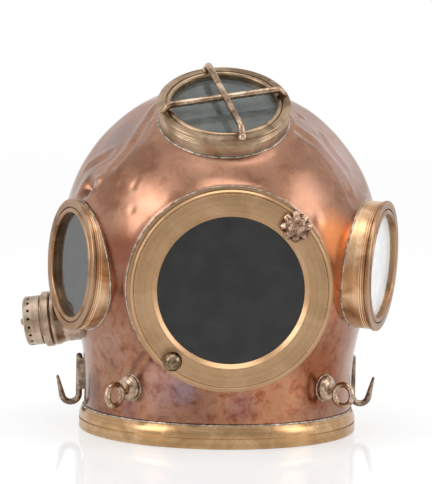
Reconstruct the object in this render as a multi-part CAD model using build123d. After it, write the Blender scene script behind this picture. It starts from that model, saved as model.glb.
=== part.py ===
# Copper diving helmet bonnet with brass fittings.
# Millimetres. The origin is the centre of the neck bore in the bottom face of
# the neck ring, +Z points up through the crown, and the wearer faces -Y.
# Each separate piece of the real helmet is one solid, or one group of solids,
# in its own node. Turned pieces are drawn as half outlines of radius and
# height along their own axis, and are then laid on the axis of their port.

import os
from math import asin, atan2, cos, degrees, radians, sin, sqrt, tan

from build123d import *

os.makedirs("parts", exist_ok=True)

# Fits that every piece shares
solder_gap = 0.05
running_gap = 0.3
stem_gap = 0.1
cut_overrun = 10.0
sheet = 1.0
groove_share = 0.7

# Neck ring with its interrupted thread
ring_radius = 140.0
ring_shelf = 4.7
ring_height = 22.0
ring_lower_band = 10.0
ring_groove_width = 1.6
ring_groove_depth = 1.8
ring_top_step = 1.2
ring_bottom_chamfer = 1.0
neck_wall = 15.0
neck_lead_in = 6.0
neck_lead_in_clearance = 1.0
neck_thread_height = 3.0
neck_thread_length = 11.0
neck_thread_sectors = 4
neck_thread_pitch = 4.0
neck_thread_groove = 1.9
spigot_height = 12.0
spigot_step = 1.0

# Copper dome: a sphere that narrows in a straight taper to a flared skirt
dome_swell = 23.7
dome_wall = 2.0
taper_angle = 14.0
flare_radius = 200.0
flare_z = 50.86

# Front port: a seat ring in the dome and a faceplate that screws into it
front_drop = 34.4
front_setback = 1.0
front_seat_radius = 98.5
front_hole_radius = 94.0
front_seat_depth = 17.0
faceplate_radius = 96.0
faceplate_thickness = 8.0
faceplate_rim_round = 1.5
faceplate_rim_groove = 1.0
faceplate_rim_groove_depth = 0.5
faceplate_rim_groove_inset = 2.6
faceplate_gasket_thickness = 1.5
faceplate_spigot_radius = 82.0
faceplate_spigot_length = 12.0
faceplate_bore = 76.2
faceplate_sight_radius = 70.5
faceplate_bevel_width = 4.0
faceplate_bevel_depth = 3.5
faceplate_lip = 1.6
faceplate_glass_thickness = 8.0
faceplate_retainer_height = 5.0
faceplate_thread_pitch = 4.0
faceplate_thread_depth = 1.2

# Knobs on the faceplate, with their angle from +X in the face
knob_circle = 86.5
knob_shank_radius = 3.0
ball_knob_angle = 229.9
ball_knob_radius = 9.5
ball_knob_standoff = 12.0
ball_knob_neck_radius = 4.5
ball_knob_foot_radius = 7.0
ball_knob_foot_height = 2.0
rosette_knob_angle = 46.3
rosette_radius = 15.0
rosette_petals = 8
rosette_petal_radius = 5.6
rosette_petal_flat_share = 0.5
rosette_inner_radius = 9.2
rosette_inner_petal_radius = 3.9
rosette_heart_radius = 5.0
rosette_stalk_radius = 6.5
rosette_stalk_height = 4.0

# Side and top ports, which share their section
port_radius = 65.0
port_wall_radius = 63.6
port_bead_height = 3.6
port_rib_count = 3
port_rib_pitch = 2.2
port_rib_depth = 0.5
port_hole_radius = 58.0
port_counterbore = 57.4
port_sight_radius = 51.5
port_ledge_radius = 50.5
port_ring_height = 5.0
port_ring_crown = 1.6
port_ring_step = 1.0
port_ring_recess = 0.5
port_glass_thickness = 7.0
port_gasket_thickness = 1.2
port_ledge_height = 3.5
port_inner_lip = 3.0
left_port_azimuth = 70.5
left_port_drop = 21.0
left_port_standoff = 2.0
left_port_rise = 1.0
right_port_azimuth = 69.0
right_port_drop = 18.5
right_port_standoff = 11.0
right_port_rise = -3.0
top_port_elevation = 58.5
top_port_azimuth = -3.0
top_port_standoff = 7.0

# Guard cross over the top port
guard_rod_radius = 3.3
guard_long_angle = 106.0
guard_cross_angle = 16.0
guard_long_height = 9.4
guard_cross_height = 6.6
guard_foot_radius = 61.0
guard_foot_run = 5.0
guard_bend_radius = 7.0
guard_blob_radius = 4.6

# Exhaust valve on the wearer's right
exhaust_azimuth = 98.0
exhaust_z = 110.0
exhaust_dip = 8.0
exhaust_hole_radius = 19.5
exhaust_neck_radius = 24.8
exhaust_shoulder_radius = 27.2
exhaust_shoulder_rise = 8.0
exhaust_shoulder_land = 3.0
exhaust_core_height = 6.0
exhaust_neck_height = 23.9
exhaust_tube_radius = 20.0
exhaust_tube_top = 44.0
exhaust_bore = 17.0
exhaust_inner_length = 12.0
exhaust_seat_height = 2.0
exhaust_seat_web = 3.0
exhaust_seat_bore = 10.0
exhaust_guide_height = 2.2
exhaust_guide_window = 5.0
exhaust_guide_windows = 4
exhaust_guide_circle = 10.5
lock_ring_radius = 28.0
lock_ring_height = 10.0
lock_ring_groove = 1.4
lock_ring_round = 1.2
cap_radius = 25.0
cap_gap = 2.1
cap_face_height = 52.4
cap_face_thickness = 3.0
cap_round = 1.5
cap_hole_radius = 1.5
cap_hole_count = 18
cap_hole_setback = 5.6
valve_stem_radius = 3.0
valve_button_radius = 3.5
valve_button_height = 5.6
valve_disc_radius = 14.5
valve_disc_height = 3.0
valve_washer_height = 1.5
valve_lift = 5.0
chin_button_radius = 12.0
chin_button_height = 8.0
chin_button_clearance = 1.0
spring_seat_radius = 12.0
spring_seat_height = 3.0
spring_radius = 8.0
spring_wire_radius = 0.8
spring_turns = 7

# Hooks beside the skirt
hook_azimuth = 96.0
hook_rod_radius = 3.2
hook_throat = 11.0
hook_tip_lean = 14.0
hook_top_z = 71.0
hook_bottom_z = 19.0
hook_tip_z = 49.5
hook_tip_radius = 1.4
hook_plate_width = 9.0
hook_plate_bottom_z = 36.0
hook_clearance = 1.2

# Lashing eyes on the front of the skirt
eye_left_azimuth = 43.0
eye_right_azimuth = 46.8
eye_boss_z = 54.0
eye_boss_radius = 12.5
eye_boss_height = 5.0
eye_boss_crown = 3.0
eye_ring_section = 2.9
eye_ring_hole_radius = 7.5
eye_ring_reach = 22.7
eye_ring_drop = 5.0

# Air inlet at the back, with its non-return valve
inlet_drop = 25.0
inlet_hole_radius = 14.0
inlet_flange_radius = 25.0
inlet_flange_height = 6.0
inlet_pipe_radius = 13.0
inlet_pipe_bore = 9.0
inlet_inner_length = 3.0
inlet_run = 33.0
inlet_fall = 36.0
inlet_turn = 70.0
inlet_bend_radius = 20.0
inlet_collar_radius = 17.0
inlet_collar_height = 10.0
inlet_socket_radius = 12.0
inlet_socket_depth = 8.0
inlet_body_radius = 17.0
inlet_body_height = 24.0
inlet_body_flat = 30.0
inlet_chamber_radius = 9.5
inlet_seat_height = 19.0
inlet_seat_bore = 5.5
union_radius = 11.0
union_length = 14.0
union_bore = 6.5
union_thread_pitch = 2.0
union_thread_depth = 0.8
inlet_disc_radius = 8.0
inlet_disc_height = 2.5
inlet_stem_radius = 2.0
inlet_stem_overhang = 2.0
inlet_guide_height = 2.0
inlet_guide_window = 2.2
inlet_guide_circle = 6.4
inlet_guide_windows = 4
inlet_spring_radius = 4.5
inlet_spring_wire_radius = 0.5
inlet_spring_turns = 5

# Sheet ducts that lead the air to the ports
duct_width = 30.0
duct_depth = 10.0
duct_junction_half_angle = 6.5
duct_side_end_margin = 3.0
duct_top_end_margin = 3.0

# Sizes worked out from the ones above
neck_bore_radius = ring_radius - neck_wall
neck_thread_crest = neck_bore_radius - neck_thread_height
spigot_radius = neck_bore_radius - spigot_step
skirt_radius = ring_radius - ring_shelf
dome_radius = skirt_radius + dome_swell
taper_cos = cos(radians(taper_angle))
taper_sin = sin(radians(taper_angle))
flare_axis_radius = skirt_radius + flare_radius
taper_fall = dome_radius * taper_cos - flare_axis_radius + flare_radius * taper_cos
taper_length = taper_fall / taper_sin
dome_centre_z = flare_z + flare_radius * taper_sin + taper_length * taper_cos + dome_radius * taper_sin
front_z = dome_centre_z - front_drop
front_face_y = dome_radius - front_setback
left_port_z = dome_centre_z - left_port_drop
left_port_face = dome_radius + left_port_standoff
right_port_z = dome_centre_z - right_port_drop
right_port_face = dome_radius + right_port_standoff
top_port_face = dome_radius + top_port_standoff
inlet_z = dome_centre_z - inlet_drop


def dome_outer_radius(z):
    # Radius of the dome's outside at a height.
    if z > dome_centre_z - dome_radius * taper_sin:
        return sqrt(dome_radius**2 - (z - dome_centre_z) ** 2)
    flare_top_z = flare_z + flare_radius * taper_sin
    if z > flare_top_z:
        return flare_axis_radius - flare_radius * taper_cos + (z - flare_top_z) * tan(radians(taper_angle))
    if z > flare_z:
        return flare_axis_radius - sqrt(flare_radius**2 - (z - flare_z) ** 2)
    return skirt_radius


def dome_body(inset, bottom_z):
    # The dome filled solid, with its surface moved inwards by inset.
    ball = dome_radius - inset
    flare = flare_radius + inset
    middle = radians((90 - taper_angle) / 2)
    half_flare = radians(taper_angle / 2)
    crown = (0, dome_centre_z + ball)
    shoulder = (ball * taper_cos, dome_centre_z - ball * taper_sin)
    flare_top = (flare_axis_radius - flare * taper_cos, flare_z + flare * taper_sin)
    flare_middle = (flare_axis_radius - flare * cos(half_flare), flare_z + flare * sin(half_flare))
    skirt_top = (skirt_radius - inset, flare_z)
    skirt_bottom = (skirt_radius - inset, bottom_z)
    crown_middle = (ball * cos(middle), dome_centre_z + ball * sin(middle))
    outline = Curve() + [
        ThreePointArc(crown, crown_middle, shoulder),
        Line(shoulder, flare_top),
        ThreePointArc(flare_top, flare_middle, skirt_top),
        Line(skirt_top, skirt_bottom),
        Line(skirt_bottom, (0, bottom_z)),
        Line((0, bottom_z), crown),
    ]
    return revolve(make_face(Plane.XZ * outline), Axis.Z)


def turned(outline):
    # A closed half outline of (radius, height) points, turned about Z.
    return revolve(make_face(Plane.XZ * Polyline(outline, close=True)), Axis.Z)


def tube(outer, inner, low, high):
    return turned([(inner, low), (outer, low), (outer, high), (inner, high)])


def rod(radius, low, high):
    return turned([(0, low), (radius, low), (radius, high), (0, high)])


def ribbed_wall(radius, depth, pitch, count, top):
    # Outline points of turned V grooves, from the top groove down.
    groove = pitch * groove_share
    points = []
    for index in range(count):
        groove_top = top - index * pitch
        points.append((radius, groove_top))
        points.append((radius - depth, groove_top - groove / 2))
        points.append((radius, groove_top - groove))
    return points


def horizontal_plane(azimuth, z, side):
    # Plane at the helmet's axis that looks out at an azimuth from the front.
    angle = radians(azimuth)
    outward = (side * sin(angle), -cos(angle), 0)
    across = (cos(angle), side * sin(angle), 0)
    return Plane(origin=(0, 0, z), x_dir=across, z_dir=outward)


def side_port_plane(azimuth, z, face, rise, side):
    # Plane at the helmet's axis whose normal rises a little on its way out,
    # and meets the port's face at height z.
    tilt = radians(rise)
    level = horizontal_plane(azimuth, z - face * tan(tilt), side)
    outward = level.z_dir * cos(tilt) + Vector(0, 0, 1) * sin(tilt)
    return Plane(origin=level.origin, x_dir=level.x_dir, z_dir=outward)


front_plane = horizontal_plane(0, front_z, 1)
left_plane = side_port_plane(left_port_azimuth, left_port_z, left_port_face, left_port_rise, -1)
right_plane = side_port_plane(right_port_azimuth, right_port_z, right_port_face, right_port_rise, 1)
top_tilt = radians(top_port_elevation)
top_turn = radians(top_port_azimuth)
top_plane = Plane(
    origin=(0, 0, dome_centre_z),
    x_dir=(cos(top_turn), sin(top_turn), 0),
    z_dir=(sin(top_turn) * cos(top_tilt), -cos(top_turn) * cos(top_tilt), sin(top_tilt)),
)
exhaust_turn = radians(exhaust_azimuth)
exhaust_tilt = radians(exhaust_dip)
exhaust_root = dome_outer_radius(exhaust_z)
exhaust_plane = Plane(
    origin=(-exhaust_root * sin(exhaust_turn), -exhaust_root * cos(exhaust_turn), exhaust_z),
    x_dir=(cos(exhaust_turn), -sin(exhaust_turn), 0),
    z_dir=(
        -sin(exhaust_turn) * cos(exhaust_tilt),
        -cos(exhaust_turn) * cos(exhaust_tilt),
        -sin(exhaust_tilt),
    ),
)
inlet_root = dome_outer_radius(inlet_z)
inlet_corner = (inlet_root + inlet_run, inlet_z)
inlet_direction = (cos(radians(inlet_turn)), -sin(radians(inlet_turn)))
inlet_end = (
    inlet_corner[0] + inlet_fall * inlet_direction[0],
    inlet_corner[1] + inlet_fall * inlet_direction[1],
)
inlet_plane = Plane(
    origin=(0, inlet_end[0], inlet_end[1]),
    x_dir=(1, 0, 0),
    z_dir=(0, inlet_direction[0], inlet_direction[1]),
)
back_plane = Plane(origin=(0, 0, inlet_z), x_dir=(-1, 0, 0), z_dir=(0, 1, 0))

dome_outside = dome_body(-solder_gap, -cut_overrun)
dome_lining = dome_body(dome_wall + solder_gap, -cut_overrun)

parts = {}


def dome_shell():
    shell = dome_body(0, ring_height) - dome_body(dome_wall, ring_height - cut_overrun)
    shell -= tube(skirt_radius + cut_overrun, 0, -cut_overrun, ring_height + solder_gap)
    reach = dome_radius + cut_overrun
    shell -= front_plane.location * rod(front_hole_radius, 0, reach)
    shell -= left_plane.location * rod(port_hole_radius, 0, reach)
    shell -= right_plane.location * rod(port_hole_radius, 0, reach)
    shell -= top_plane.location * rod(port_hole_radius, 0, reach)
    shell -= exhaust_plane.location * rod(exhaust_hole_radius, -exhaust_neck_height, cut_overrun)
    shell -= back_plane.location * rod(inlet_hole_radius, 0, reach)
    return shell


def neck_ring():
    # Lower band, groove, and an ovolo that falls back to the copper skirt.
    groove_top = ring_lower_band + ring_groove_width
    spigot_top = ring_height + spigot_height
    spigot_outer = skirt_radius - dome_wall - solder_gap
    groove_floor = ring_radius - ring_groove_depth
    thread_top = neck_lead_in + neck_thread_length
    ovolo_top = (skirt_radius + ring_top_step, ring_height)
    below_ovolo = Polyline(
        ovolo_top,
        (spigot_outer, ring_height),
        (spigot_outer, spigot_top),
        (spigot_radius, spigot_top),
        (spigot_radius, thread_top),
        (neck_bore_radius, thread_top),
        (neck_bore_radius, neck_lead_in),
        (neck_bore_radius + neck_lead_in_clearance, neck_lead_in),
        (neck_bore_radius + neck_lead_in_clearance, 0),
        (ring_radius - ring_bottom_chamfer, 0),
        (ring_radius, ring_bottom_chamfer),
        (ring_radius, ring_lower_band),
        (groove_floor, ring_lower_band),
        (groove_floor, groove_top),
        (ring_radius, groove_top),
    )
    ovolo = TangentArc((ring_radius, groove_top), ovolo_top, tangent=(0, 1))
    ring = revolve(make_face(Plane.XZ * (Curve() + [below_ovolo, ovolo])), Axis.Z)
    return ring + neck_thread()


def neck_thread():
    # Rows of thread teeth that stand in from the bore, with gaps between them.
    root = neck_bore_radius + ring_groove_depth / 2
    low = neck_lead_in
    high = neck_lead_in + neck_thread_length
    count = int(neck_thread_length // neck_thread_pitch)
    start = low + (neck_thread_length - count * neck_thread_pitch) / 2
    outline = [(root, low), (neck_thread_crest, low)]
    for index in range(count):
        middle = start + (index + 0.5) * neck_thread_pitch
        outline.append((neck_thread_crest, middle - neck_thread_groove / 2))
        outline.append((neck_bore_radius, middle))
        outline.append((neck_thread_crest, middle + neck_thread_groove / 2))
    outline.append((neck_thread_crest, high))
    outline.append((root, high))
    face = make_face(Plane.XZ * Polyline(outline, close=True))
    sector = 180 / neck_thread_sectors
    teeth = Part()
    for index in range(neck_thread_sectors):
        turn = Rot(0, 0, sector * (2 * index - 0.5))
        teeth += turn * revolve(face, Axis.Z, revolution_arc=sector)
    return teeth


def port_frame(plane, face, hole, wall_outline, depth, bore):
    # A turned ring soldered on the dome: its wall stands on the copper, its
    # spigot goes through the hole, and both are cut to follow the dome.
    stem = hole - solder_gap
    frame = plane.location * turned(wall_outline + [(bore, 0), (bore, face)])
    copper = dome_outside - plane.location * rod(stem, -cut_overrun, face + cut_overrun)
    room = dome_body(dome_wall + port_inner_lip, -cut_overrun)
    room -= plane.location * rod(hole + cut_overrun, face - depth, face + cut_overrun)
    return frame - copper - room


def front_seat_ring():
    seat_face = front_face_y - faceplate_thickness - faceplate_gasket_thickness - solder_gap
    bore = faceplate_spigot_radius + running_gap
    outline = [(front_seat_radius, seat_face), (front_seat_radius, 0)]
    ring = port_frame(front_plane, seat_face, front_hole_radius, outline, front_seat_depth, bore)
    groove_count = int(faceplate_spigot_length // faceplate_thread_pitch)
    for index in range(groove_count):
        middle = seat_face - (index + 0.5) * faceplate_thread_pitch
        ring -= front_plane.location * thread_groove(bore, faceplate_thread_depth, middle)
    return ring


def thread_groove(radius, depth, middle):
    # A V groove cut outwards from a bore.
    half = faceplate_thread_pitch / 4
    inside = radius - depth
    return turned([(inside, middle - 2 * half), (radius + depth, middle), (inside, middle + 2 * half)])


def faceplate_ring():
    face = front_face_y
    back = face - faceplate_thickness
    end = back - faceplate_spigot_length
    lip_back = face - faceplate_bevel_depth - faceplate_lip
    rim = faceplate_radius - faceplate_rim_round
    groove = faceplate_radius - faceplate_rim_groove_inset
    thread_top = back - faceplate_lip
    thread_count = int((faceplate_spigot_length - faceplate_lip) // faceplate_thread_pitch)
    thread = ribbed_wall(
        faceplate_spigot_radius, faceplate_thread_depth, faceplate_thread_pitch, thread_count, thread_top
    )
    outline = [
        (faceplate_bore, end),
        (faceplate_bore, lip_back),
        (faceplate_sight_radius, lip_back),
        (faceplate_sight_radius, face - faceplate_bevel_depth),
        (faceplate_sight_radius + faceplate_bevel_width, face),
        (groove - faceplate_rim_groove, face),
        (groove - faceplate_rim_groove / 2, face - faceplate_rim_groove_depth),
        (groove, face),
        (rim, face),
        (faceplate_radius, face - faceplate_rim_round),
        (faceplate_radius, back),
        (faceplate_spigot_radius, back),
    ]
    outline += thread
    outline.append((faceplate_spigot_radius, end))
    ring = turned(outline)
    for angle in (ball_knob_angle, rosette_knob_angle):
        hole = rod(knob_shank_radius + solder_gap, -cut_overrun, cut_overrun)
        ring -= Pos(*knob_place(angle)) * hole
    return front_plane.location * ring


def knob_place(angle):
    turn = radians(angle)
    return (knob_circle * cos(turn), knob_circle * sin(turn), front_face_y)


def faceplate_lip_back():
    return front_face_y - faceplate_bevel_depth - faceplate_lip - solder_gap


def faceplate_glass():
    high = faceplate_lip_back()
    disc = rod(faceplate_bore - solder_gap, high - faceplate_glass_thickness, high)
    return front_plane.location * disc


def faceplate_retainer():
    high = faceplate_lip_back() - faceplate_glass_thickness - solder_gap
    low = high - faceplate_retainer_height
    ring = tube(faceplate_bore - solder_gap, faceplate_sight_radius, low, high)
    return front_plane.location * ring


def faceplate_gasket():
    high = front_face_y - faceplate_thickness - solder_gap / 2
    low = high - faceplate_gasket_thickness
    ring = tube(faceplate_radius, faceplate_spigot_radius + running_gap, low, high)
    return front_plane.location * ring


def ball_knob():
    # A ball on a short neck with a collar, and a shank screwed into the rim.
    foot = rod(ball_knob_foot_radius, solder_gap, ball_knob_foot_height)
    neck = rod(ball_knob_neck_radius, solder_gap, ball_knob_standoff)
    ball = Pos(0, 0, ball_knob_standoff) * Sphere(ball_knob_radius)
    shank = rod(knob_shank_radius, -faceplate_thickness + solder_gap, ball_knob_foot_height)
    ball -= rod(ball_knob_radius, -cut_overrun, ball_knob_foot_height)
    return front_plane.location * (Pos(*knob_place(ball_knob_angle)) * (foot + neck + ball + shank))


def petal_ring(circle, radius, z, turn):
    # Flattened balls set in a circle.
    ring = Part()
    for index in range(rosette_petals):
        petal = Sphere(radius) & Cylinder(radius, 2 * radius * rosette_petal_flat_share)
        place = Rot(0, 0, turn + index * 360 / rosette_petals) * Pos(circle, 0, z)
        ring += place * petal
    return ring


def rosette_knob():
    # A cast rosette: two rings of rounded petals about a domed heart.
    lift = rosette_petal_radius * rosette_petal_flat_share
    outer_z = rosette_stalk_height + lift
    inner_z = outer_z + lift
    knob = rod(rosette_stalk_radius, solder_gap, inner_z)
    knob += rod(knob_shank_radius, -faceplate_thickness + solder_gap, rosette_stalk_height)
    knob += petal_ring(rosette_radius - rosette_petal_radius, rosette_petal_radius, outer_z, 0)
    half_step = 180 / rosette_petals
    inner_circle = rosette_inner_radius - rosette_inner_petal_radius
    knob += petal_ring(inner_circle, rosette_inner_petal_radius, inner_z, half_step)
    knob += Pos(0, 0, inner_z) * Sphere(rosette_heart_radius)
    return front_plane.location * (Pos(*knob_place(rosette_knob_angle)) * knob)


def small_port_frame(plane, face):
    rib_top = face - port_bead_height
    ribs = ribbed_wall(port_wall_radius, port_rib_depth, port_rib_pitch, port_rib_count, rib_top)
    bead_round = (port_radius - port_wall_radius) / 2
    outline = [
        (port_radius - bead_round, face),
        (port_radius, face - bead_round),
        (port_radius, rib_top + bead_round),
    ]
    outline += ribs
    outline.append((port_wall_radius, 0))
    stack = port_ring_recess + port_ring_height + port_glass_thickness + port_gasket_thickness
    depth = stack + port_ledge_height
    frame = port_frame(plane, face, port_hole_radius, outline, depth, port_ledge_radius)
    frame -= plane.location * rod(port_counterbore, face - stack - 3 * solder_gap, face + cut_overrun)
    return frame


def port_glass(plane, face):
    high = face - port_ring_recess - port_ring_height - solder_gap
    disc = rod(port_counterbore - solder_gap, high - port_glass_thickness, high)
    return plane.location * disc


def port_gasket(plane, face):
    high = face - port_ring_recess - port_ring_height - port_glass_thickness - 2 * solder_gap
    ring = tube(port_counterbore - solder_gap, port_sight_radius, high - port_gasket_thickness, high)
    return plane.location * ring


def port_retainer(plane, face):
    # A screwed ring whose face is a half-round moulding.
    high = face - port_ring_recess
    low = high - port_ring_height
    outer = port_counterbore - solder_gap
    edge = outer - port_ring_step
    middle = (edge + port_sight_radius) / 2
    foot = high - port_ring_crown
    outline = Curve() + [
        Line((port_sight_radius, low), (outer, low)),
        Line((outer, low), (outer, foot)),
        Line((outer, foot), (edge, foot)),
        ThreePointArc((edge, foot), (middle, high + port_ring_crown), (port_sight_radius, foot)),
        Line((port_sight_radius, foot), (port_sight_radius, low)),
    ]
    return plane.location * revolve(make_face(Plane.XZ * outline), Axis.Z)


def guard_rod(angle, height):
    # A round rod that stands over the port, with both ends bent down to the rim.
    foot = guard_foot_radius
    top = guard_foot_radius - guard_foot_run
    path = FilletPolyline(
        (-foot, 0, -cut_overrun),
        (-foot, 0, 0),
        (-top, 0, height),
        (top, 0, height),
        (foot, 0, 0),
        (foot, 0, -cut_overrun),
        radius=[0, guard_bend_radius, guard_bend_radius, 0],
    )
    wire_path = path.wire()
    start = Plane(origin=wire_path @ 0, z_dir=wire_path % 0)
    bar = sweep(start * Circle(guard_rod_radius), path=wire_path, transition=Transition.RIGHT)
    bar -= rod(port_radius + cut_overrun, -2 * cut_overrun, solder_gap)
    return Pos(0, 0, top_port_face) * (Rot(0, 0, angle) * bar)


def guard_bar_long():
    bar = guard_rod(guard_long_angle, guard_long_height)
    turn = radians(guard_long_angle)
    for side in (-1, 1):
        place = (side * guard_foot_radius * cos(turn), side * guard_foot_radius * sin(turn), top_port_face)
        blob = Pos(*place) * Sphere(guard_blob_radius)
        bar += blob - Pos(*place) * rod(2 * guard_blob_radius, -cut_overrun, solder_gap)
    return top_plane.location * bar


def guard_bar_cross():
    bar = guard_rod(guard_cross_angle, guard_cross_height)
    over = Pos(0, 0, top_port_face + guard_long_height) * (Rot(0, 0, guard_long_angle) * Rot(0, 90, 0))
    notch = over * Cylinder(guard_rod_radius + solder_gap, 4 * guard_rod_radius)
    return top_plane.location * (bar - notch)


def exhaust_body():
    spigot = exhaust_hole_radius - solder_gap
    wall = turned(
        [
            (spigot, -exhaust_inner_length),
            (exhaust_neck_radius, -exhaust_inner_length),
            (exhaust_neck_radius, exhaust_neck_height - exhaust_shoulder_land - exhaust_shoulder_rise),
            (exhaust_shoulder_radius, exhaust_neck_height - exhaust_shoulder_land),
            (exhaust_shoulder_radius, exhaust_neck_height),
            (exhaust_tube_radius, exhaust_neck_height),
            (exhaust_tube_radius, exhaust_tube_top),
            (exhaust_bore, exhaust_tube_top),
            (exhaust_bore, exhaust_core_height / 2),
            (spigot, exhaust_core_height / 2),
        ]
    )
    wall = exhaust_plane.location * wall - dome_outside
    seat_top = exhaust_seat_height + exhaust_seat_web
    core = turned(
        [
            (exhaust_bore, -exhaust_inner_length),
            (spigot, -exhaust_inner_length),
            (spigot, exhaust_core_height),
            (exhaust_bore, exhaust_core_height),
            (exhaust_bore, seat_top),
            (exhaust_seat_bore, seat_top),
            (exhaust_seat_bore, exhaust_seat_height),
            (exhaust_bore, exhaust_seat_height),
        ]
    )
    return wall + exhaust_plane.location * core


def exhaust_stem_guide():
    # A windowed disc inside the spigot that steers the stem.
    low = -exhaust_inner_length + solder_gap
    guide = tube(exhaust_bore - solder_gap, valve_stem_radius + stem_gap, low, low + exhaust_guide_height)
    for index in range(exhaust_guide_windows):
        window = Pos(exhaust_guide_circle, 0, low) * Cylinder(exhaust_guide_window, cut_overrun)
        guide -= Rot(0, 0, index * 360 / exhaust_guide_windows) * window
    return exhaust_plane.location * guide


def exhaust_lock_ring():
    low = exhaust_neck_height + lock_ring_groove
    high = exhaust_neck_height + lock_ring_height
    inner = exhaust_tube_radius + solder_gap
    soft = lock_ring_round
    outline = [
        (inner, low),
        (lock_ring_radius - soft, low),
        (lock_ring_radius, low + soft),
        (lock_ring_radius, high - soft),
        (lock_ring_radius - soft, high),
        (inner, high),
    ]
    return exhaust_plane.location * turned(outline)


def cap_low():
    return exhaust_neck_height + lock_ring_height + cap_gap


def exhaust_cap():
    inner = exhaust_tube_radius + running_gap
    floor = cap_face_height - cap_face_thickness
    hole = valve_button_radius + running_gap
    outline = [
        (inner, cap_low()),
        (cap_radius, cap_low()),
        (cap_radius, cap_face_height - cap_round),
        (cap_radius - cap_round, cap_face_height),
        (hole, cap_face_height),
        (hole, floor),
        (inner, floor),
    ]
    cap = turned(outline)
    for index in range(cap_hole_count):
        turn = Rot(0, 0, (index + 0.5) * 360 / cap_hole_count)
        drill = Pos(cap_radius, 0, cap_face_height - cap_hole_setback) * Rot(0, 90, 0)
        cap -= turn * (drill * Cylinder(cap_hole_radius, 2 * (cap_radius - inner) + cap_hole_radius))
    return exhaust_plane.location * cap


def spring_seat_top():
    return cap_face_height - cap_face_thickness - solder_gap


def exhaust_spring_seat():
    high = spring_seat_top()
    low = high - spring_seat_height
    ring = tube(spring_seat_radius, valve_button_radius + running_gap, low, high)
    return exhaust_plane.location * ring


def washer_low():
    return exhaust_seat_height + exhaust_seat_web + solder_gap


def disc_low():
    return washer_low() + valve_washer_height + solder_gap


def exhaust_seat_washer():
    low = washer_low()
    ring = tube(exhaust_bore - solder_gap, exhaust_seat_bore, low, low + valve_washer_height)
    return exhaust_plane.location * ring


def exhaust_valve_disc():
    low = disc_low()
    ring = tube(valve_disc_radius, valve_stem_radius + solder_gap, low, low + valve_disc_height)
    return exhaust_plane.location * ring


def exhaust_stem_low():
    # The chin button still clears the neck's inner end when the valve lifts.
    return -exhaust_inner_length - valve_lift - chin_button_clearance - chin_button_height / 2


def exhaust_stem():
    # The stem runs from the chin button to the button outside the cap.
    low = exhaust_stem_low()
    top = cap_face_height + valve_button_height
    neck = disc_low() + valve_disc_height + solder_gap
    shoulder = cap_face_height - cap_face_thickness - valve_lift
    outline = [
        (0, low),
        (valve_stem_radius, low),
        (valve_stem_radius, neck),
        (valve_stem_radius, shoulder),
        (valve_button_radius, shoulder + valve_button_radius - valve_stem_radius),
        (valve_button_radius, top - valve_button_radius / 4),
        (valve_button_radius * 3 / 4, top),
        (0, top),
    ]
    return exhaust_plane.location * turned(outline)


def exhaust_chin_button():
    floor = exhaust_stem_low() - solder_gap
    high = exhaust_stem_low() + chin_button_height / 2
    low = high - chin_button_height
    edge = chin_button_height / 4
    outline = [
        (0, low),
        (chin_button_radius - edge, low),
        (chin_button_radius, low + edge),
        (chin_button_radius, high - edge),
        (chin_button_radius - edge, high),
        (valve_stem_radius + solder_gap, high),
        (valve_stem_radius + solder_gap, floor),
        (0, floor),
    ]
    return exhaust_plane.location * turned(outline)


def coil_spring(plane, radius, wire, turns, low, high):
    # A plain helical spring between two faces.
    base = low + wire + solder_gap
    height = high - low - 2 * (wire + solder_gap)
    path = Helix(pitch=height / turns, height=height, radius=radius)
    start = Plane(origin=path @ 0, z_dir=path % 0)
    coil = sweep(start * Circle(wire), path=path, is_frenet=True)
    return plane.location * (Pos(0, 0, base) * coil)


def exhaust_spring():
    low = disc_low() + valve_disc_height
    high = spring_seat_top() - spring_seat_height
    return coil_spring(exhaust_plane, spring_radius, spring_wire_radius, spring_turns, low, high)


def skirt_plane(azimuth, side):
    # Upright plane through the helmet's axis: x is the radius, y is the height.
    angle = radians(azimuth)
    outward = (side * sin(angle), -cos(angle), 0)
    across = (-outward[1], outward[0], 0)
    return Plane(origin=(0, 0, 0), x_dir=outward, z_dir=(-across[0], -across[1], 0))


def hook(side):
    # A round rod bent into a J, on a plate that follows the copper.
    lane = skirt_plane(hook_azimuth, side)
    stand = dome_outer_radius(hook_top_z) + hook_clearance + hook_rod_radius
    bend = hook_throat / 2 + hook_rod_radius
    bend_z = hook_bottom_z + hook_rod_radius + bend
    upright = Rot(-90, 0, 0)
    bar = Pos(stand, 0, 0) * upright * rod(hook_rod_radius, bend_z, hook_top_z - hook_rod_radius / 2)
    bar += Pos(stand, hook_top_z - hook_rod_radius / 2, 0) * Sphere(hook_rod_radius)
    section = Plane(origin=(stand, bend_z, 0), x_dir=(1, 0, 0), z_dir=(0, 1, 0)) * Circle(hook_rod_radius)
    bar += revolve(section, Axis((stand + bend, bend_z, 0), (0, 0, 1)), revolution_arc=180 - hook_tip_lean)
    lean = radians(hook_tip_lean)
    turn_x = stand + bend + bend * cos(lean)
    turn_z = bend_z - bend * sin(lean)
    tip_length = (hook_tip_z - turn_z) / cos(lean)
    tip = turned(
        [
            (0, 0),
            (hook_rod_radius, 0),
            (hook_tip_radius, tip_length - hook_tip_radius),
            (hook_tip_radius / 2, tip_length),
            (0, tip_length),
        ]
    )
    bar += Pos(turn_x, turn_z, 0) * Rot(0, 0, -hook_tip_lean) * upright * tip
    plate_depth = 2 * hook_rod_radius
    plate_height = hook_top_z - hook_rod_radius - hook_plate_bottom_z
    plate_middle = (stand - plate_depth / 2, hook_plate_bottom_z + plate_height / 2, 0)
    bar += Pos(*plate_middle) * Box(plate_depth, plate_height, hook_plate_width)
    return lane.location * bar - dome_outside


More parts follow.
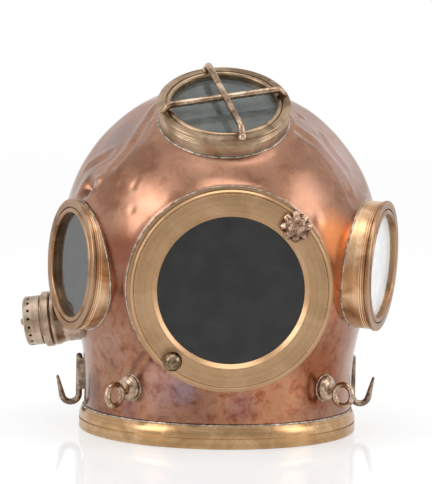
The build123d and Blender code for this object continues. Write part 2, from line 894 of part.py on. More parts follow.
def eye(azimuth, side):
    # A turned boss on the skirt that carries a cast ring on end.
    lane = skirt_plane(azimuth, side)
    root = dome_outer_radius(eye_boss_z)
    boss_plane = horizontal_plane(azimuth, eye_boss_z, side)
    shelf = root + eye_boss_height
    crown = shelf + eye_boss_crown
    outline = [
        (0, root - cut_overrun),
        (eye_boss_radius, root - cut_overrun),
        (eye_boss_radius, shelf - eye_boss_crown / 2),
        (eye_boss_radius - eye_boss_crown / 2, shelf),
        (eye_boss_radius / 2, crown),
        (0, crown),
    ]
    boss = boss_plane.location * turned(outline)
    ring_circle = eye_ring_hole_radius + eye_ring_section
    centre = (root + eye_ring_reach, eye_boss_z - eye_ring_drop)
    slope = degrees(atan2(eye_ring_drop, eye_ring_reach))
    stalk_length = sqrt(eye_ring_reach**2 + eye_ring_drop**2) - ring_circle
    ring = Pos(centre[0], centre[1], 0) * Torus(ring_circle, eye_ring_section)
    lean = Rot(0, 0, -slope) * Rot(0, 90, 0)
    stalk = Pos(root, eye_boss_z, 0) * lean * rod(eye_ring_section, 0, stalk_length)
    return boss + lane.location * (ring + stalk) - dome_outside


def inlet_flange():
    # A saddle flange on the dome with a tail through its hole.
    tail_end = inlet_root - dome_wall - inlet_inner_length
    face = inlet_root + inlet_flange_height
    flange = back_plane.location * rod(inlet_flange_radius, inlet_root - cut_overrun, face)
    flange -= dome_outside
    flange += back_plane.location * rod(inlet_pipe_radius, tail_end, face)
    return flange - back_plane.location * rod(inlet_pipe_bore, tail_end - cut_overrun, face + cut_overrun)


def inlet_elbow():
    # A bent pipe soldered on the flange's face, with a collar at its end.
    start_y = inlet_root + inlet_flange_height + solder_gap
    route = FilletPolyline((start_y, inlet_z), inlet_corner, inlet_end, radius=inlet_bend_radius)
    path = (Plane.YZ * route).wire()
    start = Plane(origin=path @ 0, z_dir=path % 0)
    pipe = sweep(start * Circle(inlet_pipe_radius), path=path, transition=Transition.RIGHT)
    collar = inlet_plane.location * rod(inlet_collar_radius, -inlet_collar_height, 0)
    elbow = pipe + collar
    elbow -= sweep(start * Circle(inlet_pipe_bore), path=path, transition=Transition.RIGHT)
    elbow -= inlet_plane.location * rod(inlet_socket_radius, -inlet_socket_depth, cut_overrun)
    return elbow


def inlet_valve_body():
    # The non-return valve's case: a spigot in the elbow, flats for a spanner
    # and the hose thread below.
    base = solder_gap
    end = inlet_body_height + union_length
    thread_count = int(union_length // union_thread_pitch) - 2
    thread_top = end - union_thread_pitch
    thread = ribbed_wall(union_radius, union_thread_depth, union_thread_pitch, thread_count, thread_top)
    spigot = inlet_socket_radius - solder_gap
    seat_top = inlet_body_height
    outline = [
        (inlet_chamber_radius, -inlet_socket_depth + base),
        (spigot, -inlet_socket_depth + base),
        (spigot, base),
        (inlet_body_radius, base),
        (inlet_body_radius, inlet_body_height),
        (union_radius, inlet_body_height),
    ]
    outline += list(reversed(thread))
    outline += [
        (union_radius, end),
        (union_bore, end),
        (union_bore, seat_top),
        (inlet_seat_bore, seat_top),
        (inlet_seat_bore, inlet_seat_height),
        (inlet_chamber_radius, inlet_seat_height),
    ]
    body = turned(outline)
    hexagon = extrude(RegularPolygon(inlet_body_flat / 2, 6, major_radius=False), inlet_body_height)
    hexagon += rod(union_radius, -inlet_socket_depth - cut_overrun, end + cut_overrun)
    hexagon += rod(spigot, -inlet_socket_depth - cut_overrun, base)
    return inlet_plane.location * (body & hexagon)


def inlet_valve_guide():
    low = -inlet_socket_depth + 2 * solder_gap
    guide = tube(
        inlet_chamber_radius - solder_gap, inlet_stem_radius + stem_gap, low, low + inlet_guide_height
    )
    for index in range(inlet_guide_windows):
        window = Pos(inlet_guide_circle, 0, low) * Cylinder(inlet_guide_window, cut_overrun)
        guide -= Rot(0, 0, index * 360 / inlet_guide_windows) * window
    return inlet_plane.location * guide


def inlet_valve_disc():
    high = inlet_seat_height - solder_gap
    low = high - inlet_disc_height
    stem_top = -inlet_socket_depth - inlet_stem_overhang
    disc = rod(inlet_disc_radius, low, high) + rod(inlet_stem_radius, stem_top, high)
    return inlet_plane.location * disc


def inlet_valve_spring():
    low = -inlet_socket_depth + 2 * solder_gap + inlet_guide_height
    high = inlet_seat_height - solder_gap - inlet_disc_height
    return coil_spring(
        inlet_plane, inlet_spring_radius, inlet_spring_wire_radius, inlet_spring_turns, low, high
    )


def duct_section(inner, outer, half_width):
    # Section of a channel, open towards the dome, as a face of radius and width.
    channel = Pos((inner + outer) / 2, 0) * Rectangle(outer - inner, 2 * half_width)
    hollow = Pos((inner + outer) / 2 + sheet, 0) * Rectangle(outer - inner, 2 * half_width - 2 * sheet)
    return channel - hollow


def side_duct(side):
    # A channel that runs round inside the dome from the junction to a side port.
    inner = dome_radius - dome_wall - duct_depth - sheet
    face = Plane.XZ * (Pos(0, inlet_z) * duct_section(inner, dome_radius, duct_width / 2))
    azimuth, z = (left_port_azimuth, left_port_z) if side < 0 else (right_port_azimuth, right_port_z)
    port_half_angle = degrees(asin(port_hole_radius / dome_outer_radius(z)))
    far = 180 - azimuth - port_half_angle - duct_side_end_margin
    near = duct_junction_half_angle
    channel = revolve(face, Axis.Z, revolution_arc=far - near)
    turn = 90 + near if side < 0 else 90 - far
    return (Rot(0, 0, turn) * channel) & dome_lining


def top_duct():
    # A channel that runs up the back and over the crown to the top port.
    inner = dome_radius - dome_wall - duct_depth - sheet
    section = duct_section(inner, dome_radius, duct_width / 2)
    hub = Plane(origin=(0, 0, dome_centre_z), x_dir=(0, 1, 0), z_dir=(0, 0, -1))
    axle = Axis((0, 0, dome_centre_z), (1, 0, 0))
    low = degrees(asin((inlet_z + duct_width / 2 - dome_centre_z) / dome_radius))
    port_half_angle = degrees(asin(port_hole_radius / dome_radius))
    high = 180 - top_port_elevation - port_half_angle - duct_top_end_margin
    channel = revolve(hub * section, axle, revolution_arc=high - low)
    return channel.rotate(axle, low) & dome_lining


def air_junction():
    # A shallow box over the inlet's mouth that feeds the three ducts.
    inner = dome_radius - dome_wall - duct_depth - sheet
    half = duct_width / 2
    wall = Plane.XZ * (Pos((inner + dome_radius) / 2, inlet_z) * Rectangle(dome_radius - inner, duct_width))
    hollow_height = duct_width - sheet
    hollow_place = Pos((inner + dome_radius) / 2 + sheet, inlet_z + sheet / 2)
    hollow = Plane.XZ * (hollow_place * Rectangle(dome_radius - inner, hollow_height))
    angle = duct_junction_half_angle - degrees(solder_gap / dome_radius)
    box = revolve(wall - hollow, Axis.Z, revolution_arc=2 * angle)
    return (Rot(0, 0, 90 - angle) * box) & dome_lining


parts["dome_shell"] = dome_shell()
parts["neck_ring"] = neck_ring()
parts["front_seat_ring"] = front_seat_ring()
parts["faceplate_ring"] = faceplate_ring()
parts["faceplate_glass"] = faceplate_glass()
parts["faceplate_retainer"] = faceplate_retainer()
parts["faceplate_gasket"] = faceplate_gasket()
parts["ball_knob"] = ball_knob()
parts["rosette_knob"] = rosette_knob()
small_ports = {
    "left_port": (left_plane, left_port_face),
    "right_port": (right_plane, right_port_face),
    "top_port": (top_plane, top_port_face),
}
for name, (plane, face) in small_ports.items():
    parts[name + "_frame"] = small_port_frame(plane, face)
    parts[name + "_glass"] = port_glass(plane, face)
    parts[name + "_gasket"] = port_gasket(plane, face)
    parts[name + "_retainer"] = port_retainer(plane, face)
parts["guard_bar_long"] = guard_bar_long()
parts["guard_bar_cross"] = guard_bar_cross()
parts["exhaust_body"] = exhaust_body()
parts["exhaust_stem_guide"] = exhaust_stem_guide()
parts["exhaust_lock_ring"] = exhaust_lock_ring()
parts["exhaust_cap"] = exhaust_cap()
parts["exhaust_spring_seat"] = exhaust_spring_seat()
parts["exhaust_seat_washer"] = exhaust_seat_washer()
parts["exhaust_valve_disc"] = exhaust_valve_disc()
parts["exhaust_stem"] = exhaust_stem()
parts["exhaust_chin_button"] = exhaust_chin_button()
parts["exhaust_spring"] = exhaust_spring()
parts["hook_left"] = hook(-1)
parts["hook_right"] = hook(1)
parts["eye_left"] = eye(eye_left_azimuth, -1)
parts["eye_right"] = eye(eye_right_azimuth, 1)
parts["inlet_flange"] = inlet_flange()
parts["inlet_elbow"] = inlet_elbow()
parts["inlet_valve_body"] = inlet_valve_body()
parts["inlet_valve_guide"] = inlet_valve_guide()
parts["inlet_valve_disc"] = inlet_valve_disc()
parts["inlet_valve_spring"] = inlet_valve_spring()
parts["air_duct_left"] = side_duct(-1)
parts["air_duct_right"] = side_duct(1)
parts["air_duct_top"] = top_duct()
parts["air_junction"] = air_junction()

for name, part in parts.items():
    solids = part.solids()
    export_step(solids[0] if len(solids) == 1 else Compound(solids), "parts/" + name + ".step")
    volume = sum(solid.volume for solid in solids)
    print(name, len(solids), "solid, volume", round(volume, 1))
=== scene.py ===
# %% [markdown]
# # A copper diving helmet
#
# This notebook dresses the solid model of a diving helmet: a beaten copper
# dome, turned brass fittings, thick old glass and soft solder. The solid model
# already has the right sizes, so Blender adds what a solid cannot hold: dents,
# solder beads, tarnish, turning marks and the light of a plain studio.

import math
from functools import partial

import bmesh
import bpy
import numpy as np
from mathutils import Matrix, Vector, noise
from mathutils.bvhtree import BVHTree


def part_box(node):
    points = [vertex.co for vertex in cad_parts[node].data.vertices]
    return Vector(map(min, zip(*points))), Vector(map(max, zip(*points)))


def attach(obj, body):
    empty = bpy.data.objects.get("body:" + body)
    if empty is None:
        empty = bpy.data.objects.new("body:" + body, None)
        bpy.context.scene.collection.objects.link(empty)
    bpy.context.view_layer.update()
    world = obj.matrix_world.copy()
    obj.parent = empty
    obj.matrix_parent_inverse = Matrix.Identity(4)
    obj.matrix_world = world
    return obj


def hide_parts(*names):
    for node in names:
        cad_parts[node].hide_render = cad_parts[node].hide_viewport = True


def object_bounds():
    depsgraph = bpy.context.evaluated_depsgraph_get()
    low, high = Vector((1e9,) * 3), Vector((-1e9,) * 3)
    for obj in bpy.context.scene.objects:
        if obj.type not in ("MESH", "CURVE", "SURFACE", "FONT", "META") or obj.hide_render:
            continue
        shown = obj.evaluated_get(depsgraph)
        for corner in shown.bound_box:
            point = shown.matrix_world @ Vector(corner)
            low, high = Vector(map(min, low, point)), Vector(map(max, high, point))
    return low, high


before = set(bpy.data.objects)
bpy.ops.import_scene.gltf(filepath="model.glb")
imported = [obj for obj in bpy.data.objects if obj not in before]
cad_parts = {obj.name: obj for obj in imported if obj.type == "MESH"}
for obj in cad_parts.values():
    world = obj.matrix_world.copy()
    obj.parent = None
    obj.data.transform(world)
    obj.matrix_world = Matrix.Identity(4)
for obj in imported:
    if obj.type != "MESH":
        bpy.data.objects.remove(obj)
cad_low, cad_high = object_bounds()
print("solid model spans", [round(high - low, 4) for low, high in zip(cad_low, cad_high)], "m")

# %% [markdown]
# ## Units and a few small helpers
#
# Blender counts in metres, and the helmet is described in millimetres, so one
# value turns one into the other. Every finished piece has its object at the
# origin and its place in its mesh, which keeps patterns in Object coordinates
# still when the piece moves with a joint.

# %% Units and mesh helpers
MM = 0.001
FULL_TURN = 2 * math.pi


def put_in_scene(name, data):
    made = bpy.data.objects.new(name, data)
    bpy.context.scene.collection.objects.link(made)
    return made


def mesh_of(bm, name):
    # Bakes a bmesh with its faces pointing outwards, and lets it go.
    bmesh.ops.recalc_face_normals(bm, faces=bm.faces)
    mesh = bpy.data.meshes.new(name)
    bm.to_mesh(mesh)
    bm.free()
    return mesh


def finish_piece(mesh, name, body, material):
    # Makes a smooth object that rides on a body of the frame.
    mesh.polygons.foreach_set("use_smooth", [True] * len(mesh.polygons))
    mesh.materials.clear()
    mesh.materials.append(material)
    piece = put_in_scene(name, mesh)
    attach(piece, body)
    print(name, len(mesh.polygons), "faces")
    return piece


# %% [markdown]
# ## The camera
#
# The camera was found by matching the helmet's neck ring, ports and crown with
# the photograph: it stands two and a half metres away, a little above the
# helmet and a little to the left of its front, and it is rolled by one degree.
# It also stands a few millimetres to its own left, without turning. Its focal
# length is first written in pixels, because that is how it was found.

# %% Camera
PHOTO_HEIGHT_PX = 484
FOCAL_PX = 2482.6
SENSOR_MM = 36.0
CAMERA_DISTANCE = 2500 * MM
CAMERA_HEIGHT = 407 * MM
CAMERA_AZIMUTH = math.radians(-4.2)
CAMERA_PITCH = math.radians(5.0)
CAMERA_ROLL = math.radians(1.0)
CAMERA_SHIFT = 3.8 * MM


def make_camera():
    a, p = CAMERA_AZIMUTH, CAMERA_PITCH
    forward = Vector((-math.sin(a) * math.cos(p), math.cos(a) * math.cos(p), -math.sin(p)))
    right = Vector((math.cos(a), math.sin(a), 0))
    up = right.cross(forward)
    rolled_up = up * math.cos(CAMERA_ROLL) - right * math.sin(CAMERA_ROLL)
    rolled_right = right * math.cos(CAMERA_ROLL) + up * math.sin(CAMERA_ROLL)
    data = bpy.data.cameras.new("photo_camera")
    data.sensor_width = SENSOR_MM
    data.lens = FOCAL_PX * SENSOR_MM / PHOTO_HEIGHT_PX
    data.clip_start = 100 * MM
    camera = put_in_scene("photo_camera", data)
    spot = Vector((math.sin(a) * CAMERA_DISTANCE, -math.cos(a) * CAMERA_DISTANCE, CAMERA_HEIGHT))
    spot -= right * CAMERA_SHIFT
    camera.matrix_world = Matrix.Translation(spot) @ (
        Matrix((rolled_right, rolled_up, -forward)).transposed().to_4x4()
    )
    bpy.context.scene.camera = camera
    print("camera lens", round(data.lens, 1), "mm")
    return spot, forward, rolled_right, rolled_up


camera_spot, camera_forward, camera_right, camera_up = make_camera()
PHOTO_CENTRE_PX = (216, 242)


def photo_ray(x_px, y_px):
    # The direction in which a pixel of the photograph looks.
    sideways = (x_px - PHOTO_CENTRE_PX[0]) / FOCAL_PX
    upwards = (PHOTO_CENTRE_PX[1] - y_px) / FOCAL_PX
    return (camera_forward + camera_right * sideways + camera_up * upwards).normalized()


# %% [markdown]
# ## Building materials out of nodes
#
# A material is a tree of nodes. One function adds a node, fills its inputs and
# gives back its output. An input is another node's output, a colour or a plain
# value. A function for each kind of node would read shorter, but it would hide
# what Blender calls its nodes. Colours are written as sRGB hex values, as a
# painter would pick them, and one function turns them into the linear values
# that Blender mixes.
#
# A new material hands out that function with its own tree filled in. Inputs go
# by name, or by number where names repeat: a Mix node's share is input 0, its
# two colours are inputs 6 and 7, and the mixed colour is output 2.

# %% Material helpers
MIX = {"data_type": "RGBA"}
MULTIPLIED = {"data_type": "RGBA", "blend_type": "MULTIPLY"}
SMOOTH = {"interpolation_type": "SMOOTHSTEP"}
TIMES = {"operation": "MULTIPLY"}
PLUS = {"operation": "ADD"}
TIMES_PLUS = {"operation": "MULTIPLY_ADD"}
HIGHER = {"operation": "MAXIMUM"}
APART = {"operation": "DISTANCE"}


def linear(hex_colour):
    values = []
    for start in (1, 3, 5):
        value = int(hex_colour[start : start + 2], 16) / 255
        values.append(value / 12.92 if value <= 0.04045 else ((value + 0.055) / 1.055) ** 2.4)
    return (*values, 1.0)


def add_node(tree, kind, settings=None, inputs=None, output=0, stops=()):
    # The stops of a colour ramp are pairs of a position and a colour or a grey.
    node = tree.nodes.new("ShaderNode" + kind)
    for key, value in (settings or {}).items():
        setattr(node, key, value)
    for key, value in (inputs or {}).items():
        if isinstance(value, bpy.types.NodeSocket):
            tree.links.new(value, node.inputs[key])
        else:
            node.inputs[key].default_value = linear(value) if isinstance(value, str) else value
    if stops:
        elements = node.color_ramp.elements
        while len(elements) < len(stops):
            elements.new(0.5)
        for element, (position, colour) in zip(elements, stops):
            element.position = position
            element.color = linear(colour) if isinstance(colour, str) else (colour, colour, colour, 1)
    return node.outputs[output] if node.outputs else node


def spread(value, low, high, at_low=0.0, at_high=1.0):
    # The inputs of a Map Range node, which gives a value new limits.
    return {"Value": value, "From Min": low, "From Max": high, "To Min": at_low, "To Max": at_high}


print("middle grey #808080 is", round(linear("#808080")[0], 3), "in linear light")


# %% Materials and their patterns
def new_material(name):
    material = bpy.data.materials.new(name)
    material.use_nodes = True
    material.node_tree.nodes.clear()
    add = partial(add_node, material.node_tree)
    return material, add, add("TexCoord", output="Object")


def dress(add, surface):
    # Closes a material with the one shader that most of them need.
    add("OutputMaterial", inputs={"Surface": add("BsdfPrincipled", inputs=surface)})


def grain(add, coordinates, size_mm, detail=4.0, roughness=0.55, distortion=0.0, stretch=(1, 1, 1)):
    # Noise whose largest blotches measure about size_mm.
    inputs = {
        "Vector": add("Mapping", inputs={"Vector": coordinates, "Scale": stretch}),
        "Scale": 1 / (size_mm * MM),
        "Detail": detail,
        "Roughness": roughness,
        "Distortion": distortion,
    }
    return add("TexNoise", inputs=inputs)


def toned(add, colour, share, pattern, stops, settings=MULTIPLIED):
    # Lays a colour ramp of a pattern over a colour.
    tint = add("ValToRGB", inputs={0: pattern}, stops=stops)
    return add("Mix", settings, {0: share, 6: colour, 7: tint}, 2)


def raised(height, depth_mm, strength, before=None):
    # The inputs of a Bump node, laid over an earlier one where there is one.
    inputs = {"Height": height, "Distance": depth_mm * MM, "Strength": strength}
    return inputs if before is None else inputs | {"Normal": before}


# %% [markdown]
# ## Aged copper
#
# The dome is copper sheet, beaten to shape and handled for a century. Copper
# darkens to brown where nobody rubs it, goes orange where it is wiped, and
# takes lilac and blue-grey stains where water dried. The colour comes from
# three noises: large clouds, hand-sized blotches and small flecks, with round
# soft patches on top, stains and a few of painted light, shade and reflection,
# whose places are found further on.
#
# Two things follow lines instead of noise. The edges of the flats and creases
# are painted pale, partly as rubbed wear and partly as a painted highlight, and
# the grooves beside them are darkened with painted shade. Such a line could be
# painted as an image, but the distance to it can be worked out by nodes, and
# then it is sharp at any size.
#
# Lower down, the skirt is mottled and carries wiping marks round it. It is
# also the most polished part. The crown is duller, under a thin clear film of
# old wax, which is the coat of the shader, so roughness and coat grow with
# height.

# %% Copper patterns
PATCH_INSIDE_SHARE = 0.75
PATCH_OUTSIDE_SHARE = 1.6
PATCH_RAGGED_SHARE = 0.9


def round_patch(add, coordinates, centre, radius, edge_noise):
    # One round soft patch on the copper, used for stains and for painted light: 1 at its centre, 0 outside.
    inputs = {0: coordinates, 1: centre}
    offset = add("VectorMath", APART, inputs, "Value")
    inputs = {0: edge_noise, 1: radius * PATCH_RAGGED_SHARE, 2: offset}
    reach = add("Math", TIMES_PLUS, inputs)
    inside, outside = radius * PATCH_INSIDE_SHARE, radius * PATCH_OUTSIDE_SHARE
    return add("MapRange", SMOOTH, spread(reach, inside, outside, 1.0, 0.0))


def line_share(add, coordinates, start, end, width):
    # 1 on the straight line between two points, fading to 0 at its width.
    along = Vector(end) - Vector(start)
    offset = add("VectorMath", {"operation": "SUBTRACT"}, {0: coordinates, 1: start})
    inputs = {0: offset, 1: along / along.length_squared}
    travel = add("VectorMath", {"operation": "DOT_PRODUCT"}, inputs, "Value")
    travel = add("Clamp", inputs={0: travel})
    nearest = add("VectorMath", {"operation": "SCALE"}, {0: along, "Scale": travel})
    distance = add("VectorMath", APART, {0: offset, 1: nearest}, "Value")
    return add("MapRange", SMOOTH, spread(distance, 0.0, width, 1.0, 0.0))


def any_line(add, coordinates, lines, width):
    # The highest share of several lines of points.
    share = 0.0
    for line in lines:
        for start, end in zip(line, line[1:]):
            inputs = {0: share, 1: line_share(add, coordinates, start, end, width)}
            share = add("Math", HIGHER, inputs)
    return share


# %% Copper colour
WIPED_BELOW = 105 * MM
WIPED_FADE = 60 * MM
POLISHED_BELOW = 130 * MM
DULL_ABOVE = 230 * MM
# The ridges' pale line is partly rubbed wear and partly a painted highlight; the grooves beside them get
# painted shade.
RIDGE_RUB_AND_HIGHLIGHT_WIDTH = 2.4 * MM
GROOVE_SHADE_WIDTH = 5.0 * MM
RIDGE_SPREAD = 6.0 * MM
CLOUD_STOPS = [(0.30, "#7C5441"), (0.43, "#976B54"), (0.52, "#A57A62"), (0.62, "#9A6F59"), (0.74, "#7E5A4A")]
BLOTCH_STOPS = [(0.32, "#7C533F"), (0.47, "#9C745E"), (0.58, "#A98069"), (0.72, "#967064")]
MOTTLED_STOPS = [(0.34, "#B9826A"), (0.46, "#F0DCD0"), (0.58, "#FFFFFF"), (0.70, "#E6CFC6")]
WIPED_STOPS = [(0.38, 0.80), (0.55, 1.0), (0.70, 1.05)]
FLECK_STOPS = [(0.30, 0.55), (0.38, 1.0)]
GROOVE_SHADE_STOPS = [(0.35, 0.3), (0.6, 0.6)]
RUB_AND_HIGHLIGHT_STOPS = [(0.35, 0.15), (0.6, 0.6)]
GROOVE_SHADE_COLOUR = "#5E4034"
RUB_AND_HIGHLIGHT_COLOUR = "#F0D8CA"
BLOTCH_SHARE = 0.4
FLECK_SHARE = 0.7
CLOUD_MM = 80
BLOTCH_MM = 22
FLECK_MM = 3.2
WIPING_MM = 60
WIPING_STRETCH = (1, 1, 26)
MOTTLING_MM = 13
BEATEN_MM = 17


def copper_colour(add, coordinates, height, noises, stains_and_painted_light, ridges, shaded_grooves):
    clouds, blotches, flecks, wiping, wiped = noises
    colour = add("ValToRGB", inputs={0: clouds}, stops=CLOUD_STOPS)
    colour = toned(add, colour, BLOTCH_SHARE, blotches, BLOTCH_STOPS, MIX)
    # Round patches: mostly stains, a few of painted shade, painted highlight and painted reflection.
    for centre, radius, strength, patch_colour in stains_and_painted_light:
        inputs = {0: round_patch(add, coordinates, centre, radius, blotches), 1: strength}
        share = add("Math", TIMES, inputs)
        colour = add("Mix", MIX, {0: share, 6: colour, 7: patch_colour}, 2)
    colour = toned(add, colour, wiped, wiping, WIPED_STOPS)
    mottling = grain(add, coordinates, MOTTLING_MM, detail=6, roughness=0.68, distortion=0.3)
    low_down = spread(height, WIPED_BELOW, WIPED_BELOW + WIPED_FADE, 0.75, 0.15)
    colour = toned(add, colour, add("MapRange", SMOOTH, low_down), mottling, MOTTLED_STOPS)
    colour = toned(add, colour, FLECK_SHARE, flecks, FLECK_STOPS)
    # Painted shade along the grooves, then a pale line on the ridges that is partly rubbed wear and partly a
    # painted highlight.
    for lines, width, pattern, stops, line_colour in (
        (shaded_grooves, GROOVE_SHADE_WIDTH, clouds, GROOVE_SHADE_STOPS, GROOVE_SHADE_COLOUR),
        (ridges, RIDGE_RUB_AND_HIGHLIGHT_WIDTH, blotches, RUB_AND_HIGHLIGHT_STOPS, RUB_AND_HIGHLIGHT_COLOUR),
    ):
        patchy = add("ValToRGB", inputs={0: pattern}, stops=stops)
        inputs = {0: any_line(add, coordinates, lines, width), 1: patchy}
        share = add("Math", TIMES, inputs)
        colour = add("Mix", MIX, {0: share, 6: colour, 7: line_colour}, 2)
    return colour


# %% Copper finish
def aged_copper(stains_and_painted_light, ridges, shaded_grooves):
    # Beaten sheet, old and waxed: a soft, slightly wavy shine over brown.
    material, add, coordinates = new_material("copper_beaten_aged")
    clouds = grain(add, coordinates, CLOUD_MM, detail=4, roughness=0.5, distortion=0.5)
    blotches = grain(add, coordinates, BLOTCH_MM, detail=5, roughness=0.6, distortion=0.6)
    flecks = grain(add, coordinates, FLECK_MM, detail=6, roughness=0.7)
    wiping = grain(add, coordinates, WIPING_MM, detail=5, roughness=0.75, stretch=WIPING_STRETCH)
    height = add("SeparateXYZ", inputs={0: coordinates}, output=2)
    wiped = spread(height, WIPED_BELOW, WIPED_BELOW + WIPED_FADE, 0.15, 0.04)
    wiped = add("MapRange", SMOOTH, wiped)
    noises = (clouds, blotches, flecks, wiping, wiped)
    colour = copper_colour(add, coordinates, height, noises, stains_and_painted_light, ridges, shaded_grooves)
    rough = add("MapRange", inputs=spread(blotches, 0.3, 0.7, 0.13, 0.25))
    duller = add("MapRange", SMOOTH, spread(height, POLISHED_BELOW, DULL_ABOVE, 0.0, 0.09))
    waxed = add("MapRange", SMOOTH, spread(height, POLISHED_BELOW, DULL_ABOVE, 0.05, 0.24))
    beaten = grain(add, coordinates, BEATEN_MM, detail=1.5, roughness=0.4)
    normal = add("Bump", inputs=raised(beaten, 0.9, 0.22))
    ridge_lines = any_line(add, coordinates, ridges, RIDGE_SPREAD)
    normal = add("Bump", inputs=raised(ridge_lines, 1.0, 0.8, normal))
    wiped_height = add("Math", TIMES, {0: wiping, 1: wiped})
    fine = add("Math", TIMES_PLUS, {0: flecks, 1: 0.4, 2: wiped_height})
    surface = {
        "Base Color": colour,
        "Metallic": 1.0,
        "Roughness": add("Math", PLUS, {0: rough, 1: duller}),
        "Coat Weight": waxed,
        "Coat Roughness": 0.12,
        "Normal": add("Bump", inputs=raised(fine, 0.12, 0.30, normal)),
    }
    dress(add, surface)
    return material


# %% [markdown]
# ## Turned brass
#
# The rings and the faceplate are cast brass, turned on a lathe. A lathe leaves
# fine rings about the axis of the work, so the pattern is drawn from the
# distance to that axis. Brass tarnishes to a tan brown, and stays yellow where
# hands and cloths reach it. The same recipe serves every brass fitting, with
# its own axis and colours. The side ports' colours carry painted light: they
# are lighter than their brass, as if lit from the sides, and a port's face can
# be tinted by itself, which takes that painted light back off the face.
#
# Rods, hooks and knobs were cast or drawn and never turned. They have no lathe
# rings, only handling and tarnish, so they get a simpler recipe.

# %% Turned brass
FACE_FADE = 1.5 * MM
BROAD_RINGS = 7
TARNISH_MM = 34
BRASS_FLECK_MM = 2.4
UNEVEN_MM = 14
RING_SHARE = 0.6
BROAD_STOPS = [(0.35, 0.80), (0.5, 1.0), (0.65, 1.10)]
SCORE_STOPS = [(0.33, 0.62), (0.45, 1.0), (0.62, 1.08)]


def bare_metal(add, colour, clouds, rough, sheen, normal):
    # The tarnish makes a metal duller where its clouds are pale.
    worn = add("MapRange", inputs=spread(clouds, 0.3, 0.7, rough - sheen[0], rough + sheen[1]))
    dress(add, {"Base Color": colour, "Metallic": 1.0, "Roughness": worn, "Normal": normal})


def turned_brass(name, place, dark, middle, light, line_mm=1.1, rough=0.30, face_tint="#FFFFFF"):
    # Satin, because the lathe's lines are fine and the tarnish is thin.
    material, add, coordinates = new_material(name)
    inverse = place.inverted()
    turn = {"Vector": coordinates, "Location": inverse.translation, "Rotation": inverse.to_euler()}
    own = add("Mapping", inputs=turn)
    x, y, z = add("SeparateXYZ", inputs={0: own}).node.outputs
    flat = add("CombineXYZ", inputs={0: x, 1: y})
    radius = add("VectorMath", {"operation": "LENGTH"}, {0: flat}, "Value")
    ring = add("CombineXYZ", inputs={0: radius, 1: z})
    lines = grain(add, ring, line_mm, detail=3, roughness=0.65)
    broad = grain(add, ring, line_mm * BROAD_RINGS, detail=2, roughness=0.5)
    clouds = grain(add, coordinates, TARNISH_MM, detail=5, roughness=0.6, distortion=0.7)
    flecks = grain(add, coordinates, BRASS_FLECK_MM, detail=5, roughness=0.7)
    stops = [(0.30, dark), (0.47, middle), (0.60, light), (0.74, middle)]
    colour = add("ValToRGB", inputs={0: clouds}, stops=stops)
    colour = toned(add, colour, RING_SHARE, broad, BROAD_STOPS)
    colour = toned(add, colour, RING_SHARE, lines, SCORE_STOPS)
    face = add("MapRange", inputs=spread(z, -FACE_FADE, FACE_FADE))
    tinted = add("Mix", MULTIPLIED, {0: 1.0, 6: colour, 7: face_tint}, 2)
    colour = add("Mix", MIX, {0: face, 6: colour, 7: tinted}, 2)
    colour = toned(add, colour, 0.6, flecks, [(0.29, 0.40), (0.37, 1.0)])
    normal = add("Bump", inputs=raised(lines, 0.10, 0.5))
    uneven = grain(add, coordinates, UNEVEN_MM, detail=3)
    normal = add("Bump", inputs=raised(uneven, 0.35, 0.25, normal))
    bare_metal(add, colour, clouds, rough, (0.07, 0.12), normal)
    return material


# %% Cast and drawn metal
CAST_FLECK_MM = 1.6


def cast_metal(name, dark, middle, light, rough=0.36, size_mm=7.0):
    # Rubbed bright on its high places and brown in between.
    material, add, coordinates = new_material(name)
    clouds = grain(add, coordinates, size_mm, detail=5, roughness=0.62, distortion=0.5)
    flecks = grain(add, coordinates, CAST_FLECK_MM, detail=4, roughness=0.7)
    stops = [(0.30, dark), (0.48, middle), (0.62, light), (0.78, middle)]
    colour = add("ValToRGB", inputs={0: clouds}, stops=stops)
    colour = toned(add, colour, 0.55, flecks, [(0.30, 0.45), (0.40, 1.0)])
    normal = add("Bump", inputs=raised(clouds, 0.30, 0.4))
    normal = add("Bump", inputs=raised(flecks, 0.10, 0.4, normal))
    bare_metal(add, colour, clouds, rough, (0.08, 0.14), normal)
    return material


# %% [markdown]
# ## Where the fittings sit
#
# The glasses are flat discs, so the direction in which each one is thinnest is
# the axis of its port. The exhaust valve's lock ring gives its axis likewise.

# %% Places of the fittings
LOW_CENTRE_SHARE = 0.9


def node_points(node, place=None):
    # A node's points, in a fitting's own axes where its place is given.
    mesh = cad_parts[node].data
    points = np.zeros(len(mesh.vertices) * 3)
    mesh.vertices.foreach_get("co", points)
    points = points.reshape(-1, 3)
    return points if place is None else seen_from(points, place)


def seen_from(points, place):
    return (points - np.array(place.translation)) @ np.array(place.to_3x3())


def fitting_place(node):
    # The axis of a round, flat piece is the direction in which it is thinnest.
    # The result is a matrix: Z out of the helmet, origin at the outer face.
    points = node_points(node)
    middle = (points.min(0) + points.max(0)) / 2
    directions = np.linalg.eigh(np.cov((points - middle).T))[1]
    out = Vector(directions[:, 0])
    if out.dot(Vector(middle) - Vector((0, 0, middle[2] * LOW_CENTRE_SHARE))) < 0:
        out = -out
    across = Vector((-out.y, out.x, 0)).normalized()
    if across.length == 0:
        across = Vector((1, 0, 0))
    up = out.cross(across)
    turned = points @ np.array([across, up, out]).T
    low, high = turned.min(0), turned.max(0)
    centre = across * ((low[0] + high[0]) / 2) + up * ((low[1] + high[1]) / 2) + out * high[2]
    place = Matrix((across, up, out)).transposed().to_4x4()
    place.translation = centre
    return place


front_place = fitting_place("faceplate_glass")
left_place = fitting_place("left_port_glass")
right_place = fitting_place("right_port_glass")
top_place = fitting_place("top_port_glass")
exhaust_place = fitting_place("exhaust_lock_ring")
upright = Matrix.Identity(4)
for name, place in (("front port", front_place), ("top port", top_place), ("exhaust", exhaust_place)):
    print(name, "points", [round(v, 3) for v in place.col[2][:3]])
